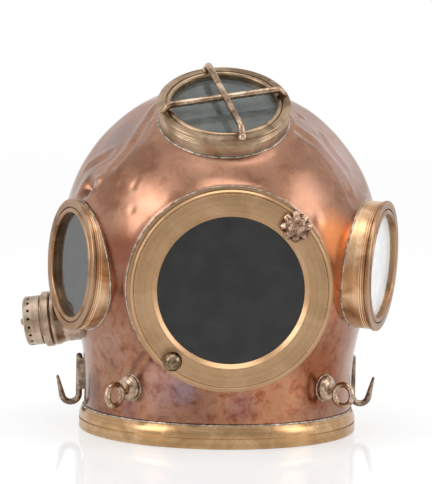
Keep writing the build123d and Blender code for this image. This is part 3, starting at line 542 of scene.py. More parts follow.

# %% [markdown]
# ## Glass, leather and solder
#
# Port glass is thick plate. From outside it looks dark under a clear
# reflection: the front and left glasses are tinted nearly black, a painted
# shade in place of the dark inside of the helmet. A century of dust makes
# glass a little cloudy, and a few long scratches cross the front glass, drawn
# as lines in the way of the copper's ridges. The right glass's thick pale film
# is a painted reflection of the white studio. Clear glass and a dull film are
# two shaders, and a noise mixes them. Leather washers are dark and dull. Soft
# solder is silvery grey, and shows as a bright bead wherever brass meets copper.

# %% Plate glass
SCRATCH_WIDTH = 0.35 * MM
SCRATCHES_PX = (
    [(246.0, 259.5), (262.0, 264.0), (280.0, 268.0)],
    [(176.0, 335.0), (198.0, 349.0)],
    [(254.0, 322.0), (276.0, 309.0)],
    [(214.0, 244.0), (222.0, 262.0)],
    [(205.0, 318.0), (216.0, 326.0), (232.0, 329.0)],
)
GLASS_ROUGH = 0.03
SCRATCH_MM = 9
SCRATCH_STRETCH = (1, 1, 9)
DUST_MM = 20


def plate_glass(name, tint, haze_and_reflection, haze_and_reflection_colour, uneven=0.4, scratch_lines=()):
    material, add, coordinates = new_material(name)
    scratches = grain(add, coordinates, SCRATCH_MM, detail=6, roughness=0.8, stretch=SCRATCH_STRETCH)
    dust = grain(add, coordinates, DUST_MM, detail=5, roughness=0.65)
    dusty = add("Math", TIMES, {0: dust, 1: 0.65})
    veil = add("Math", TIMES_PLUS, {0: scratches, 1: 0.35, 2: dusty})
    least, most = haze_and_reflection * (1 - uneven), min(1.0, haze_and_reflection * (1 + uneven))
    amount = add("MapRange", inputs=spread(veil, 0.38, 0.62, least, most))
    if scratch_lines:
        broken = add("ValToRGB", inputs={0: scratches}, stops=[(0.42, 0.05), (0.58, 0.55)])
        inputs = {0: any_line(add, coordinates, scratch_lines, SCRATCH_WIDTH), 1: broken}
        scratched = add("Math", TIMES, inputs)
        amount = add("Math", HIGHER, {0: amount, 1: scratched})
    surface = {
        "Base Color": tint,
        "Transmission Weight": 1.0,
        "IOR": 1.5,
        "Roughness": add("MapRange", inputs=spread(dust, 0.35, 0.7, GLASS_ROUGH, GLASS_ROUGH * 3)),
    }
    glass = add("BsdfPrincipled", inputs=surface)
    dust_and_reflection_film = add("BsdfPrincipled", inputs={"Base Color": haze_and_reflection_colour, "Roughness": 0.25})
    mixed = add("MixShader", inputs={0: amount, 1: glass, 2: dust_and_reflection_film})
    add("OutputMaterial", inputs={"Surface": mixed})
    return material


glass_tree = BVHTree.FromObject(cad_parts["faceplate_glass"], bpy.context.evaluated_depsgraph_get())
scratch_lines = [
    [glass_tree.ray_cast(camera_spot, photo_ray(*pixel))[0] for pixel in pixels] for pixels in SCRATCHES_PX
]
# Painted shade: the front and left tints are nearly black. Painted reflection: the right glass's thick pale
# film.
glass_materials = {
    "faceplate_glass": plate_glass("glass_front_painted_shade", "#2C3130", 0.06, "#5C625A", 0.95, scratch_lines),
    "left_port_glass": plate_glass("glass_left_painted_shade", "#4C5854", 0.10, "#6A726F", 0.6),
    "right_port_glass": plate_glass("glass_right_painted_reflection", "#D6E0DE", 0.88, "#EDF0F1", 0.12),
    "top_port_glass": plate_glass("glass_top_grey", "#98A6A1", 0.26, "#8C9390", 0.5),
}
print("glass materials", len(glass_materials), "scratches", len(scratch_lines))


# %% Leather and solder
def plain_material(name, grain_mm, noise, stops, metallic, rough, depth_mm):
    # One noise gives the colour and the relief.
    material, add, coordinates = new_material(name)
    pattern = grain(add, coordinates, grain_mm, detail=4, roughness=noise)
    surface = {
        "Base Color": add("ValToRGB", inputs={0: pattern}, stops=stops),
        "Metallic": metallic,
        "Roughness": rough,
        "Normal": add("Bump", inputs=raised(pattern, depth_mm, 0.5)),
    }
    dress(add, surface)
    return material


# Leather shows its pores and hardly shines. Wiped solder has a dull silver shine.
LEATHER_STOPS = [(0.35, "#22150D"), (0.65, "#4A3020")]
SOLDER_STOPS = [(0.32, "#6F665E"), (0.5, "#A79D92"), (0.68, "#D2CBC2")]
leather_material = plain_material(
    "leather_oiled", grain_mm=1.2, noise=0.55, stops=LEATHER_STOPS, metallic=0.0, rough=0.7, depth_mm=0.2
)
solder_material = plain_material(
    "solder_soft_wiped", grain_mm=5, noise=0.6, stops=SOLDER_STOPS, metallic=1.0, rough=0.36, depth_mm=0.3
)
print("made", leather_material.name, "and", solder_material.name)

# %% [markdown]
# ## The beaten dome
#
# The real dome was raised from sheet and has been knocked about: long creases
# run down from the crown on both sides, a deep dent sits above the left port,
# and small dings are scattered over the front. The solid model's dome is
# perfectly round, so a new shell takes its place. It starts as a half outline
# that is spun about the upright axis, its points are pushed in along the
# creases, and it is then given its wall and cut open for the fittings.

# %% Dome outline
dome_tree = BVHTree.FromObject(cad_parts["dome_shell"], bpy.context.evaluated_depsgraph_get())
dome_low, dome_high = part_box("dome_shell")
dome_points = node_points("dome_shell")
dome_radius = float(np.hypot(dome_points[:, 0], dome_points[:, 1]).max())
crown_z = dome_high[2]
skirt_z = dome_low[2]
sphere_z = crown_z - dome_radius
FREE_AZIMUTH = math.radians(149)
SHOULDER_ANGLE = math.radians(104)
SPHERE_STEPS = 105
SKIRT_STEPS = 45
SKIRT_GAP = 0.2 * MM


def outside_radius(z):
    # The dome's outer radius at a height, read from the solid model by a ray
    # that comes in from behind, on a side where there is no fitting.
    start = Vector((math.sin(FREE_AZIMUTH), -math.cos(FREE_AZIMUTH), z))
    hit = dome_tree.ray_cast(start, Vector((-start.x, -start.y, 0)).normalized())[0]
    return math.hypot(hit.x, hit.y)


print("dome radius", round(dome_radius, 4), "crown at", round(crown_z, 4))
outline = []
for step in range(SPHERE_STEPS + 1):
    angle = SHOULDER_ANGLE * step / SPHERE_STEPS
    outline.append((dome_radius * math.sin(angle), sphere_z + dome_radius * math.cos(angle)))
shoulder_z = outline[-1][1]
for step in range(1, SKIRT_STEPS + 1):
    z = shoulder_z + (skirt_z + SKIRT_GAP - shoulder_z) * step / SKIRT_STEPS
    outline.append((outside_radius(z), z))
print("outline points", len(outline))

# %% [markdown]
# The crown point and the outline's edges are spun in two halves, because the
# front half needs more steps than the back: that is where the small dents are.

# %% Spin the dome
FRONT_TURN_STEPS = 190
BACK_TURN_STEPS = 90
MERGE_WITHIN = 0.01 * MM


def drawn(bm, outline):
    # Draws an outline of (radius, height) points in the XZ plane.
    points = [bm.verts.new((radius, 0, z)) for radius, z in outline]
    return points + [bm.edges.new(pair) for pair in zip(points, points[1:])]


def spin(bm, last, *turns):
    # Spins a drawn line about Z, in one or more turns of an angle and its steps.
    for angle, steps in turns:
        last = bmesh.ops.spin(
            bm,
            geom=last,
            cent=(0, 0, 0),
            axis=(0, 0, 1),
            angle=angle,
            steps=steps,
            use_merge=abs(angle) == FULL_TURN,
        )["geom_last"]
    bmesh.ops.remove_doubles(bm, verts=bm.verts, dist=MERGE_WITHIN)


def spin_dome():
    bm = bmesh.new()
    spin(bm, drawn(bm, outline), (-math.pi, FRONT_TURN_STEPS), (-math.pi, BACK_TURN_STEPS))
    bmesh.ops.recalc_face_normals(bm, faces=bm.faces)
    if sum(face.normal.dot(face.calc_center_median() - Vector((0, 0, sphere_z))) for face in bm.faces) < 0:
        bmesh.ops.reverse_faces(bm, faces=bm.faces)
    return bm


dome = spin_dome()
print("dome faces before its wall", len(dome.faces))

# %% [markdown]
# ## Dents, creases and hammer marks
#
# The creases were read off the photograph as a few pixels each. A ray from the
# camera through each pixel finds its place on the dome, so the dents land where
# the photograph shows them and stay there from any side. Both shoulders have
# also been pressed nearly flat, which straightens the outline there and gives
# the flats their crisp edges. Close to a fitting the copper is held by its
# solder, so the dents fade out there. Round the front port the sheet was
# worked up against its ring, which leaves a small fillet.
#
# A flat is a pixel and its reach, a crease is its pixels, its width and its
# depth, and a dent is a pixel, its width and its depth, all in millimetres.
#
# Sculpting by hand would do this too, but nobody could repeat it, so each dent
# is a bell-shaped push with a low rim, added up for all points at once.

# %% Read the dents onto the dome
FLATS_PX = {
    "left_shoulder": (116.0, 134.0, 52.0),
    "left_lower": (92.0, 162.0, 36.0),
    "right_upper": (318.0, 124.0, 40.0),
    "right_middle": (341.0, 150.0, 42.0),
    "right_lower": (355.0, 178.0, 36.0),
}
RIGHT_LONG_PX = [(295.3, 131.6), (318.0, 145.6), (334.3, 164.0), (347.3, 182.5), (354.0, 200.2)]
CREASES_PX = {
    "left_long": ([(154.6, 107.7), (128.0, 145.6), (112.3, 168.4)], 4.0, 2.2),
    "left_short": ([(106.4, 150.0), (85.8, 166.2)], 4.0, 2.4),
    "right_long": (RIGHT_LONG_PX, 4.5, 2.6),
    "right_upper": ([(324.6, 133.7), (337.6, 151.0), (348.6, 166.0)], 4.0, 2.2),
}
DENTS_PX = {
    "above_left_port": (87.0, 187.0, 8.0, 8.5),
    "beside_left_port": (99.0, 180.0, 5.0, -2.2),
    "ding_a": (134.0, 186.0, 2.8, 0.7),
    "ding_b": (137.0, 179.8, 2.4, 0.4),
    "ding_c": (120.5, 184.7, 3.4, 0.8),
    "ding_d": (132.0, 209.6, 3.2, 0.45),
    "ding_e": (151.6, 122.3, 2.4, 0.9),
    "ding_f": (301.8, 114.2, 4.0, 1.0),
    "ding_g": (318.0, 220.0, 5.0, 0.6),
    "ding_h": (265.0, 150.0, 6.0, 0.5),
}
plain_dome = BVHTree.FromBMesh(dome)


def on_dome(x_px, y_px):
    hit = plain_dome.ray_cast(camera_spot, photo_ray(x_px, y_px))[0]
    if hit is None:
        raise ValueError(f"pixel {x_px}, {y_px} misses the dome")
    return hit


crease_lines = {
    name: ([on_dome(*pixel) for pixel in pixels], width * MM, depth * MM)
    for name, (pixels, width, depth) in CREASES_PX.items()
}
dent_spots = [(on_dome(x, y), width * MM, depth * MM) for x, y, width, depth in DENTS_PX.values()]
flats = [(on_dome(x, y), reach * MM) for x, y, reach in FLATS_PX.values()]
print("creases", len(crease_lines), "dents", len(dent_spots), "flats", len(flats))

# %% [markdown]
# The stains, a few patches of painted light among them, and the painted shade
# of the grooves were read off the photograph in the same way. A stain is a
# pixel, a radius in millimetres, a strength and a colour.
# They need the places of the dome, which is why the copper is mixed only now,
# although its recipe stands further up.

# %% Stains and painted light on the dome
STAINS_AND_PAINTED_LIGHT_PX = {
    "orange_beside_front_port": (337.0, 240.0, 32.0, 0.90, "#E08A50"),
    "orange_below_it": (337.0, 292.0, 34.0, 0.70, "#C47A50"),
    "orange_low_right": (322.0, 366.0, 46.0, 0.80, "#8F5232"),
    "orange_low_front": (262.0, 404.0, 48.0, 0.65, "#C58A66"),
    # The next three are a painted reflection: the dark band of grey studio that the copper mirrors down the
    # left of the front port.
    "painted_dark_reflection_beside_left_port": (121.0, 250.0, 30.0, 0.70, "#814631"),
    "painted_dark_reflection_below_it": (122.0, 300.0, 30.0, 0.65, "#834D38"),
    "painted_dark_reflection_above_left_port": (112.0, 190.0, 26.0, 0.60, "#7C4E33"),
    "brown_left_of_crown": (136.0, 158.0, 24.0, 0.60, "#7A5340"),
    "lilac_left_shoulder": (115.0, 131.0, 34.0, 0.75, "#806560"),
    # Partly a lilac stain and partly a painted pale reflection along the dome's right edge.
    "lilac_and_painted_reflection_right_shoulder": (344.0, 156.0, 44.0, 0.65, "#BFA49E"),
    "lilac_left_side": (112.0, 345.0, 30.0, 0.40, "#A2857A"),
    "brown_low_left": (92.0, 388.0, 24.0, 0.80, "#6E4531"),
    "lilac_low_front": (165.0, 388.0, 30.0, 0.50, "#A3868A"),
    "blue_low_front": (185.0, 393.0, 16.0, 0.45, "#80798C"),
    "purple_low_front": (243.0, 407.0, 20.0, 0.40, "#856878"),
    "purple_low_left": (128.0, 407.0, 15.0, 0.45, "#85646F"),
    "brown_upper_right": (310.0, 172.0, 30.0, 0.50, "#88614E"),
    "brown_skirt_right": (346.0, 392.0, 22.0, 0.60, "#B07A5A"),
    # The last two are painted light: painted shade in the hollow of the dent above the left port, and a
    # painted highlight on its lip.
    "painted_shade_in_dent": (86.0, 189.0, 9.0, 1.0, "#3A140D"),
    "painted_highlight_on_dent_lip": (97.0, 184.0, 5.0, 0.70, "#C8AEB0"),
}
# Lines of painted shade along grooves in the copper, one of them a painted shadow just above the left port.
SHADED_GROOVES_PX = (
    [(330.0, 141.0), (341.0, 153.0), (351.0, 167.0)],
    [(299.0, 139.0), (318.0, 151.0), (331.0, 168.0)],
    [(107.0, 157.0), (90.0, 171.0), (84.0, 186.0)],
    [(82.0, 196.0), (95.0, 191.0)],
    [(144.8, 352.0), (135.0, 364.0), (130.0, 377.0)],
    [(151.0, 361.0), (142.0, 371.0), (137.0, 383.0)],
)
stains_and_painted_light = [
    (on_dome(x, y), radius * MM, strength, colour) for x, y, radius, strength, colour in STAINS_AND_PAINTED_LIGHT_PX.values()
]
ridges = [line for line, width, depth in crease_lines.values()]
shaded_grooves = [[on_dome(*pixel) for pixel in pixels] for pixels in SHADED_GROOVES_PX]
copper_material = aged_copper(stains_and_painted_light, ridges, shaded_grooves)
print("stains_and_painted_light", len(stains_and_painted_light), "on", copper_material.name)

# %% [markdown]
# To know where solder holds the sheet, the script measures how wide each
# fitting is below its face. The points near such a wall then stay where the
# solid model has them.

# %% Walls of the fittings
SOLDER_GRIP = 2 * MM
SOLDER_RELEASE = 10 * MM
DENT_RELEASE = 4 * MM
FITTING_REACH = 90 * MM
FACE_DEPTH = 10 * MM
EXHAUST_FACE_DEPTH = 22 * MM


def wall_radius(node, place, below=FACE_DEPTH):
    # The radius of a fitting's wall below its face.
    own = node_points(node, place)
    low = own[own[:, 2] < -below]
    return float(np.hypot(low[:, 0], low[:, 1]).max())


back_place = Matrix(((-1, 0, 0, 0), (0, 0, 1, 0), (0, 1, 0, 0), (0, 0, 0, 1)))
inlet_low, inlet_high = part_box("inlet_flange")
INLET_FLANGE_RADIUS = 25 * MM
inlet_flange_z = inlet_high.z - INLET_FLANGE_RADIUS
back_place.translation = Vector((0, dome_radius, inlet_flange_z))
fittings = {
    "front_port": (front_place, wall_radius("front_seat_ring", front_place)),
    "left_port": (left_place, wall_radius("left_port_frame", left_place)),
    "right_port": (right_place, wall_radius("right_port_frame", right_place)),
    "top_port": (top_place, wall_radius("top_port_frame", top_place)),
    "exhaust": (exhaust_place, wall_radius("exhaust_body", exhaust_place, EXHAUST_FACE_DEPTH)),
    "inlet": (back_place, INLET_FLANGE_RADIUS),
}
for name, (place, radius) in fittings.items():
    print(name, "wall radius", round(radius, 4))


def smooth_step(value, low, high):
    share = np.clip((value - low) / (high - low), 0, 1)
    return share * share * (3 - 2 * share)


def free_share(points, release):
    # 0 where solder holds the copper, 1 at the release distance and beyond.
    share = np.ones(len(points))
    for place, radius in fittings.values():
        own = seen_from(points, place)
        distance = np.hypot(own[:, 0], own[:, 1]) - radius
        near_side = own[:, 2] > -FITTING_REACH
        held = smooth_step(np.abs(distance), SOLDER_GRIP, release)
        share = np.minimum(share, np.where(near_side, held, 1.0))
    ring_held = smooth_step(points[:, 2] - skirt_z, SOLDER_GRIP, release)
    return np.minimum(share, ring_held)


# %% Shape of the flats
FLAT_SHARE = 0.82
FLAT_EDGE = 0.5 * MM


def press_flats(points):
    # What stands out past a plane is pushed back to it, and nearly all the way.
    middle = np.array((0, 0, sphere_z))
    held = free_share(points, SOLDER_RELEASE)
    for spot, reach in flats:
        out = np.array(spot) - middle
        out /= np.linalg.norm(out)
        plane = math.sqrt(dome_radius**2 - reach**2)
        proud = (points - middle) @ out - plane
        push = FLAT_SHARE * FLAT_EDGE * np.logaddexp(0, proud / FLAT_EDGE)
        points = points - (push * held)[:, None] * out
    return points


# %% Shapes of the dents and creases
HAMMER_DEPTH = 0.55 * MM
HAMMER_SPACING = 34 * MM
SWELL_DEPTH = 0.9 * MM
SWELL_SPACING = 95 * MM
SWELL_OFFSET = Vector((7, 3, 1))
CREASE_END_WIDTHS = 2.5
CREASE_END_SHARE = 0.35
CREASE_LIP_WIDTHS = 2.1
CREASE_LIP_SHARE = 0.28
DENT_RIM_WIDTHS = 1.9
DENT_RIM_SHARE = 0.2
SEAT_LIFT = 2.2 * MM
SEAT_FILLET = 4 * MM


def bell(distance, width, at=0.0):
    # 1 at a distance, falling off over a width.
    return np.exp(-(((distance - at * width) / width) ** 2))


def distance_to_line(points, line):
    best = np.full(len(points), 1.0)
    for start, end in zip(line, line[1:]):
        start, end = np.array(start), np.array(end)
        along = end - start
        share = np.clip((points - start) @ along / (along @ along), 0, 1)
        best = np.minimum(best, np.linalg.norm(points - start - share[:, None] * along, axis=1))
    return best


# %% Press them in
def press_dents(bm):
    bm.verts.ensure_lookup_table()
    points = np.array([vert.co for vert in bm.verts])
    for vert, point in zip(bm.verts, press_flats(points)):
        vert.co = point
    bm.normal_update()
    normals = np.array([vert.normal for vert in bm.verts])
    depth = np.zeros(len(points))
    for line, width, deep in crease_lines.values():
        distance = distance_to_line(points, line)
        share = 1.0
        for end in (line[0], line[-1]):
            from_end = np.linalg.norm(points - np.array(end), axis=1)
            share = share * smooth_step(from_end, 0, CREASE_END_WIDTHS * width)
        share = CREASE_END_SHARE + (1 - CREASE_END_SHARE) * share
        lip = bell(distance, width, CREASE_LIP_WIDTHS)
        depth += deep * share * (bell(distance, width) - CREASE_LIP_SHARE * lip)
    hammer = np.array([noise.noise(Vector(point) / HAMMER_SPACING) for point in points])
    swell = np.array([noise.noise(Vector(point) / SWELL_SPACING + SWELL_OFFSET) for point in points])
    depth += HAMMER_DEPTH * hammer + SWELL_DEPTH * swell
    depth *= free_share(points, SOLDER_RELEASE)
    dents = np.zeros(len(points))
    for spot, width, deep in dent_spots:
        distance = np.linalg.norm(points - np.array(spot), axis=1)
        rim = bell(distance, width, DENT_RIM_WIDTHS)
        dents += deep * (bell(distance, width) - DENT_RIM_SHARE * rim)
    depth += dents * free_share(points, DENT_RELEASE)
    own = seen_from(points, front_place)
    beyond_seat = np.hypot(own[:, 0], own[:, 1]) - fittings["front_port"][1]
    in_front = own[:, 2] > -FITTING_REACH
    depth -= SEAT_LIFT * np.exp(-np.abs(beyond_seat) / SEAT_FILLET) * in_front
    for vert, normal, deep in zip(bm.verts, normals, depth):
        vert.co = vert.co - Vector(normal) * deep
    print("deepest dent", round(depth.max() / MM, 2), "mm")


press_dents(dome)

# %% [markdown]
# ## The wall and the holes
#
# The surface so far is the outside of the sheet. It gets its two-millimetre
# wall, and a boolean then cuts the holes that the fittings sit in, so that the
# inside shows through the glass as it does on the real helmet.

# %% The wall
DOME_WALL = 2.0 * MM


def add_wall(bm):
    copied = bmesh.ops.duplicate(bm, geom=list(bm.faces))
    inner = [item for item in copied["geom"] if isinstance(item, bmesh.types.BMFace)]
    inner_verts = {vert for face in inner for vert in face.verts}
    normals = {vert: vert.normal.copy() for vert in inner_verts}
    for vert in inner_verts:
        vert.co -= normals[vert] * DOME_WALL
    bmesh.ops.reverse_faces(bm, faces=inner)
    rims = [edge for edge in bm.edges if edge.is_boundary]
    bmesh.ops.bridge_loops(bm, edges=rims)


add_wall(dome)
print("faces with the wall", len(dome.faces))

# %% The holes
HOLE_INSET = 5.55 * MM
FRONT_INSET = 4.5 * MM
INLET_HOLE_RADIUS = 14 * MM
EXHAUST_HOLE_RADIUS = 19.5 * MM
CUTTER_REACH = 70 * MM
EXHAUST_REACH = 48 * MM
CUTTER_OVERRUN = 20 * MM
CUTTER_SIDES = 96


def hole_cutter():
    bm = bmesh.new()
    for name, (place, radius) in fittings.items():
        cut_radius = {
            "inlet": INLET_HOLE_RADIUS,
            "exhaust": EXHAUST_HOLE_RADIUS,
            "front_port": radius - FRONT_INSET,
        }.get(name, radius - HOLE_INSET)
        reach = EXHAUST_REACH if name == "exhaust" else CUTTER_REACH
        bmesh.ops.create_cone(
            bm,
            cap_ends=True,
            segments=CUTTER_SIDES,
            radius1=cut_radius,
            radius2=cut_radius,
            depth=2 * reach,
            matrix=place @ Matrix.Translation((0, 0, CUTTER_OVERRUN - reach)),
        )
    return put_in_scene("hole_cutter", mesh_of(bm, "hole_cutter"))


def cut_holes(bm, name):
    piece = put_in_scene(name, mesh_of(bm, name))
    cutter = hole_cutter()
    cut = piece.modifiers.new("holes", "BOOLEAN")
    cut.operation = "DIFFERENCE"
    cut.solver = "EXACT"
    cut.object = cutter
    holed = bpy.data.meshes.new_from_object(piece.evaluated_get(bpy.context.evaluated_depsgraph_get()))
    bpy.data.objects.remove(piece)
    bpy.data.objects.remove(cutter)
    return holed


holed_dome = cut_holes(dome, "copper_dome_solid")
dome_piece = finish_piece(holed_dome, "copper_dome", "helmet", copper_material)
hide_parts("dome_shell")
dome_surface = BVHTree.FromObject(dome_piece, bpy.context.evaluated_depsgraph_get())

# %% [markdown]
# ## Solder beads
#
# Every ring was sweated to the copper with soft solder, which shows as a thin
# silvery bead along the joint. A bead starts as a small circle spun about the
# fitting's axis, and each of its points then drops along that axis until it
# lies on the dented copper. A little noise makes it as uneven as solder is.

# %% Solder beads
BEAD_SIDES = 10
BEAD_STEPS = 200
BEAD_SECTION = 1.0 * MM
BEAD_START = 30 * MM
BEAD_WAVES = ((4, 0.30), (17, 0.22))


def solder_bead(name, place, radius, section, level=None, seed=0.0):
    bm = bmesh.new()
    ring = bmesh.ops.create_circle(bm, cap_ends=False, segments=BEAD_SIDES, radius=section)
    stand = Matrix.Rotation(math.pi / 2, 4, "X")
    bmesh.ops.transform(bm, matrix=Matrix.Translation((radius, 0, 0)) @ stand, verts=ring["verts"])
    spin(bm, bm.verts[:] + bm.edges[:], (FULL_TURN, BEAD_STEPS))
    inward = -(place.col[2].to_3d())
    levels = {}
    for vert in bm.verts:
        angle = math.atan2(vert.co.y, vert.co.x)
        key = round(angle * BEAD_STEPS / FULL_TURN) % BEAD_STEPS
        out = Vector((math.cos(angle), math.sin(angle), 0))
        if key not in levels:
            swell = 1.0
            for waves, share in BEAD_WAVES:
                swell += share * noise.noise(out * waves + Vector((seed, 0, seed)))
            height = level
            if level is None:
                hit = dome_surface.ray_cast(place @ (out * radius + Vector((0, 0, BEAD_START))), inward)[0]
                height = (place.inverted() @ hit).z
            levels[key] = (height, swell)
        height, swell = levels[key]
        circle = out * radius
        vert.co = circle + (vert.co - circle) * swell + Vector((0, 0, height))
    bmesh.ops.transform(bm, matrix=place, verts=bm.verts)
    return finish_piece(mesh_of(bm, name), name, "helmet", solder_material)


# %% Lay the beads
BEAD_CLEARANCE = 0.35 * MM
RING_BEAD_CLEARANCE = 0.5 * MM
RING_BEAD_LEVEL = 0.6 * MM
SKIRT_READ_AT = 2 * MM
EYE_BOSS_RADIUS = 12.5 * MM
EYE_BEAD_CLEARANCE = 0.3 * MM
EYE_BEAD_SECTION = 0.8 * MM
for index, (name, (place, radius)) in enumerate(fittings.items()):
    solder_bead("solder_" + name, place, radius + BEAD_CLEARANCE, BEAD_SECTION, seed=2.0 * index)
ring_place = Matrix.Translation((0, 0, skirt_z))
ring_bead_radius = outside_radius(skirt_z + SKIRT_READ_AT) + RING_BEAD_CLEARANCE
solder_bead("solder_neck_ring", ring_place, ring_bead_radius, BEAD_SECTION, RING_BEAD_LEVEL, seed=31.0)
for side in ("left", "right"):
    eye_low, eye_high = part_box("eye_" + side)
    out = Vector(((eye_low.x + eye_high.x) / 2, (eye_low.y + eye_high.y) / 2, 0)).normalized()
    across = Vector((-out.y, out.x, 0))
    place = Matrix((across, Vector((0, 0, 1)), out)).transposed().to_4x4()
    place.translation = out * dome_radius + Vector((0, 0, eye_high.z - EYE_BOSS_RADIUS))
    eye_bead_radius = EYE_BOSS_RADIUS + EYE_BEAD_CLEARANCE
    solder_bead("solder_eye_" + side, place, eye_bead_radius, EYE_BEAD_SECTION, seed=40.0 + eye_low.x)

# %% [markdown]
# ## The rosette
#
# The upper knob of the faceplate is a cast rosette: eight petals round a rippled
# heart. It is turned first, as a founder's pattern would be, and the petals are
# then carved by lowering and drawing in the metal between them. All heights
# count from the face of the plate.

# %% Turn the rosette
ROSETTE_PETALS = 8
ROSETTE_RINGS = 44
ROSETTE_TURN_STEPS = 192
STALK_RADIUS = 6.5 * MM
STALK_FILLET = 0.6 * MM
STALK_GAP = 0.1 * MM
STALK_TOP = 2.0 * MM
FILLET_TOP = 3.4 * MM
UNDERSIDE = 4.2 * MM
UNDERSIDE_SHARE = 0.75
RIM_MIDDLE = 6.3 * MM
RIM_ROUND = 1.9 * MM
RIM_ROUND_ANGLES = (30, 60, 90, 120, 150)
CROWN_EDGE = 8.2 * MM
CROWN_POWER = 1.7


def rosette_outline(reach, top):
    face = front_plate_face
    outline = [(0.0, top)]
    for step in range(1, ROSETTE_RINGS + 1):
        share = step / ROSETTE_RINGS
        outline.append((reach * share, top - (top - face - CROWN_EDGE) * share**CROWN_POWER))
    for angle in RIM_ROUND_ANGLES:
        turn = math.radians(angle)
        radius = reach - RIM_ROUND * (1 - math.sin(turn))
        outline.append((radius, face + RIM_MIDDLE + RIM_ROUND * math.cos(turn)))
    outline += [(reach * UNDERSIDE_SHARE, face + UNDERSIDE), (STALK_RADIUS + STALK_FILLET, face + FILLET_TOP)]
    return outline + [
        (STALK_RADIUS, face + STALK_TOP),
        (STALK_RADIUS, face + STALK_GAP),
        (0.0, face + STALK_GAP),
    ]


# %% Carve the rosette
PETAL_DEPTH = 3.1 * MM
PETAL_DRAWN_SHARE = 0.17
PETAL_UNDER_SHARE = 0.3
INNER_DEPTH = 1.3 * MM
RING_GROOVE_DEPTH = 1.2 * MM
RIPPLE_DEPTH = 0.42 * MM
RIPPLE_LENGTH = 2.1 * MM
STALK_KEPT = 3 * MM
PETAL_SHARES = (0.50, 0.86)
HEART_SHARES = (0.62, 0.30)
INNER_SHARE = 0.47
INNER_WIDTH_SHARE = 0.16
RING_GROOVE_SHARE = 0.62
RING_GROOVE_WIDTH_SHARE = 0.05
PETAL_POWER = 0.55
INNER_POWER = 0.6


def carve(vert, reach):
    # Lowers and draws in one point between the petals.
    radius = math.hypot(vert.co.x, vert.co.y)
    height = vert.co.z - front_plate_face
    if radius < STALK_RADIUS and height < STALK_KEPT:
        return
    share = radius / reach
    turn = ROSETTE_PETALS * math.atan2(vert.co.y, vert.co.x) / 2
    gap = 1 - abs(math.cos(turn)) ** PETAL_POWER
    inner_gap = 1 - abs(math.sin(turn)) ** INNER_POWER
    rim = float(smooth_step(share, *PETAL_SHARES))
    heart = float(smooth_step(share, *HEART_SHARES))
    middle = max(0.0, 1 - abs(share - INNER_SHARE) / INNER_WIDTH_SHARE)
    lower = PETAL_DEPTH * rim * gap + INNER_DEPTH * middle * inner_gap
    lower += RING_GROOVE_DEPTH * math.exp(-(((share - RING_GROOVE_SHARE) / RING_GROOVE_WIDTH_SHARE) ** 2))
    ripple = RIPPLE_DEPTH * math.cos(FULL_TURN * radius / RIPPLE_LENGTH) * heart
    vert.co.z += (ripple - lower) if height > RIM_MIDDLE else lower * PETAL_UNDER_SHARE
    draw_in = 1 - PETAL_DRAWN_SHARE * rim * gap
    vert.co.x *= draw_in
    vert.co.y *= draw_in


# %% Make the rosette
def rosette():
    own = node_points("rosette_knob", front_place)
    centre = (own.min(0) + own.max(0)) / 2
    reach = (own[:, 0].max() - own[:, 0].min()) / 2
    bm = bmesh.new()
    spin(bm, drawn(bm, rosette_outline(reach, own[:, 2].max())), (FULL_TURN, ROSETTE_TURN_STEPS))
    for vert in bm.verts:
        carve(vert, reach)
    stand = front_place @ Matrix.Translation((centre[0], centre[1], 0))
    bmesh.ops.transform(bm, matrix=stand, verts=bm.verts)
    mesh = mesh_of(bm, "rosette")
    piece = finish_piece(mesh, "rosette", "faceplate", rosette_material)
    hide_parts("rosette_knob")
    return piece


front_plate_face = float(node_points("faceplate_ring", front_place)[:, 2].max())
rosette_material = cast_metal("bronze_cast_rubbed", "#3C2A20", "#8E6E5A", "#CDAE98", rough=0.24, size_mm=5.0)
rosette()

# %% [markdown]
# ## Finishing the fittings of the solid model
#
# The turned and cast fittings already have their real shapes, so each keeps its
# shape and gets the metal it is made of, with lathe marks about its own axis.

# %% Turned fittings
def give(material, *nodes):
    for node in nodes:
        for material_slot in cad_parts[node].material_slots:
            material_slot.material = material


# The side ports' colours are painted light, lighter than their brass as their walls look when lit from the
# sides; their face tint darkens the faces back.
side_colours_painted_light = ("#9A7350", "#D6AC84", "#E8C8A4")
top_colours = ("#68543F", "#9B826A", "#B9A187")
for side, place, colours, face_tint in (
    ("left", left_place, side_colours_painted_light, "#BDB3AC"),
    ("right", right_place, side_colours_painted_light, "#BDB3AC"),
    ("top", top_place, top_colours, "#EDEAE6"),
):
    brass = turned_brass("brass_turned_" + side + "_port", place, *colours, face_tint=face_tint)
    give(brass, side + "_port_frame", side + "_port_retainer")
faceplate_colours = ("#AE8C68", "#B8946F", "#C29E7B")
faceplate_brass = turned_brass("brass_turned_faceplate", front_place, *faceplate_colours, line_mm=1.3)
give(faceplate_brass, "faceplate_ring", "faceplate_retainer", "front_seat_ring")
ring_colours = ("#9C7852", "#B48E64", "#C6A27A")
ring_brass = turned_brass("brass_turned_neck_ring", upright, *ring_colours, line_mm=1.0, rough=0.22)
give(ring_brass, "neck_ring")
valve_brass = turned_brass("brass_turned_valve", exhaust_place, "#6E5A4A", "#9E8672", "#CDB9A4", line_mm=0.9)
give(valve_brass, "exhaust_body", "exhaust_lock_ring", "exhaust_cap", "exhaust_stem", "exhaust_stem_guide")
give(valve_brass, "exhaust_valve_disc", "exhaust_spring_seat", "exhaust_chin_button")

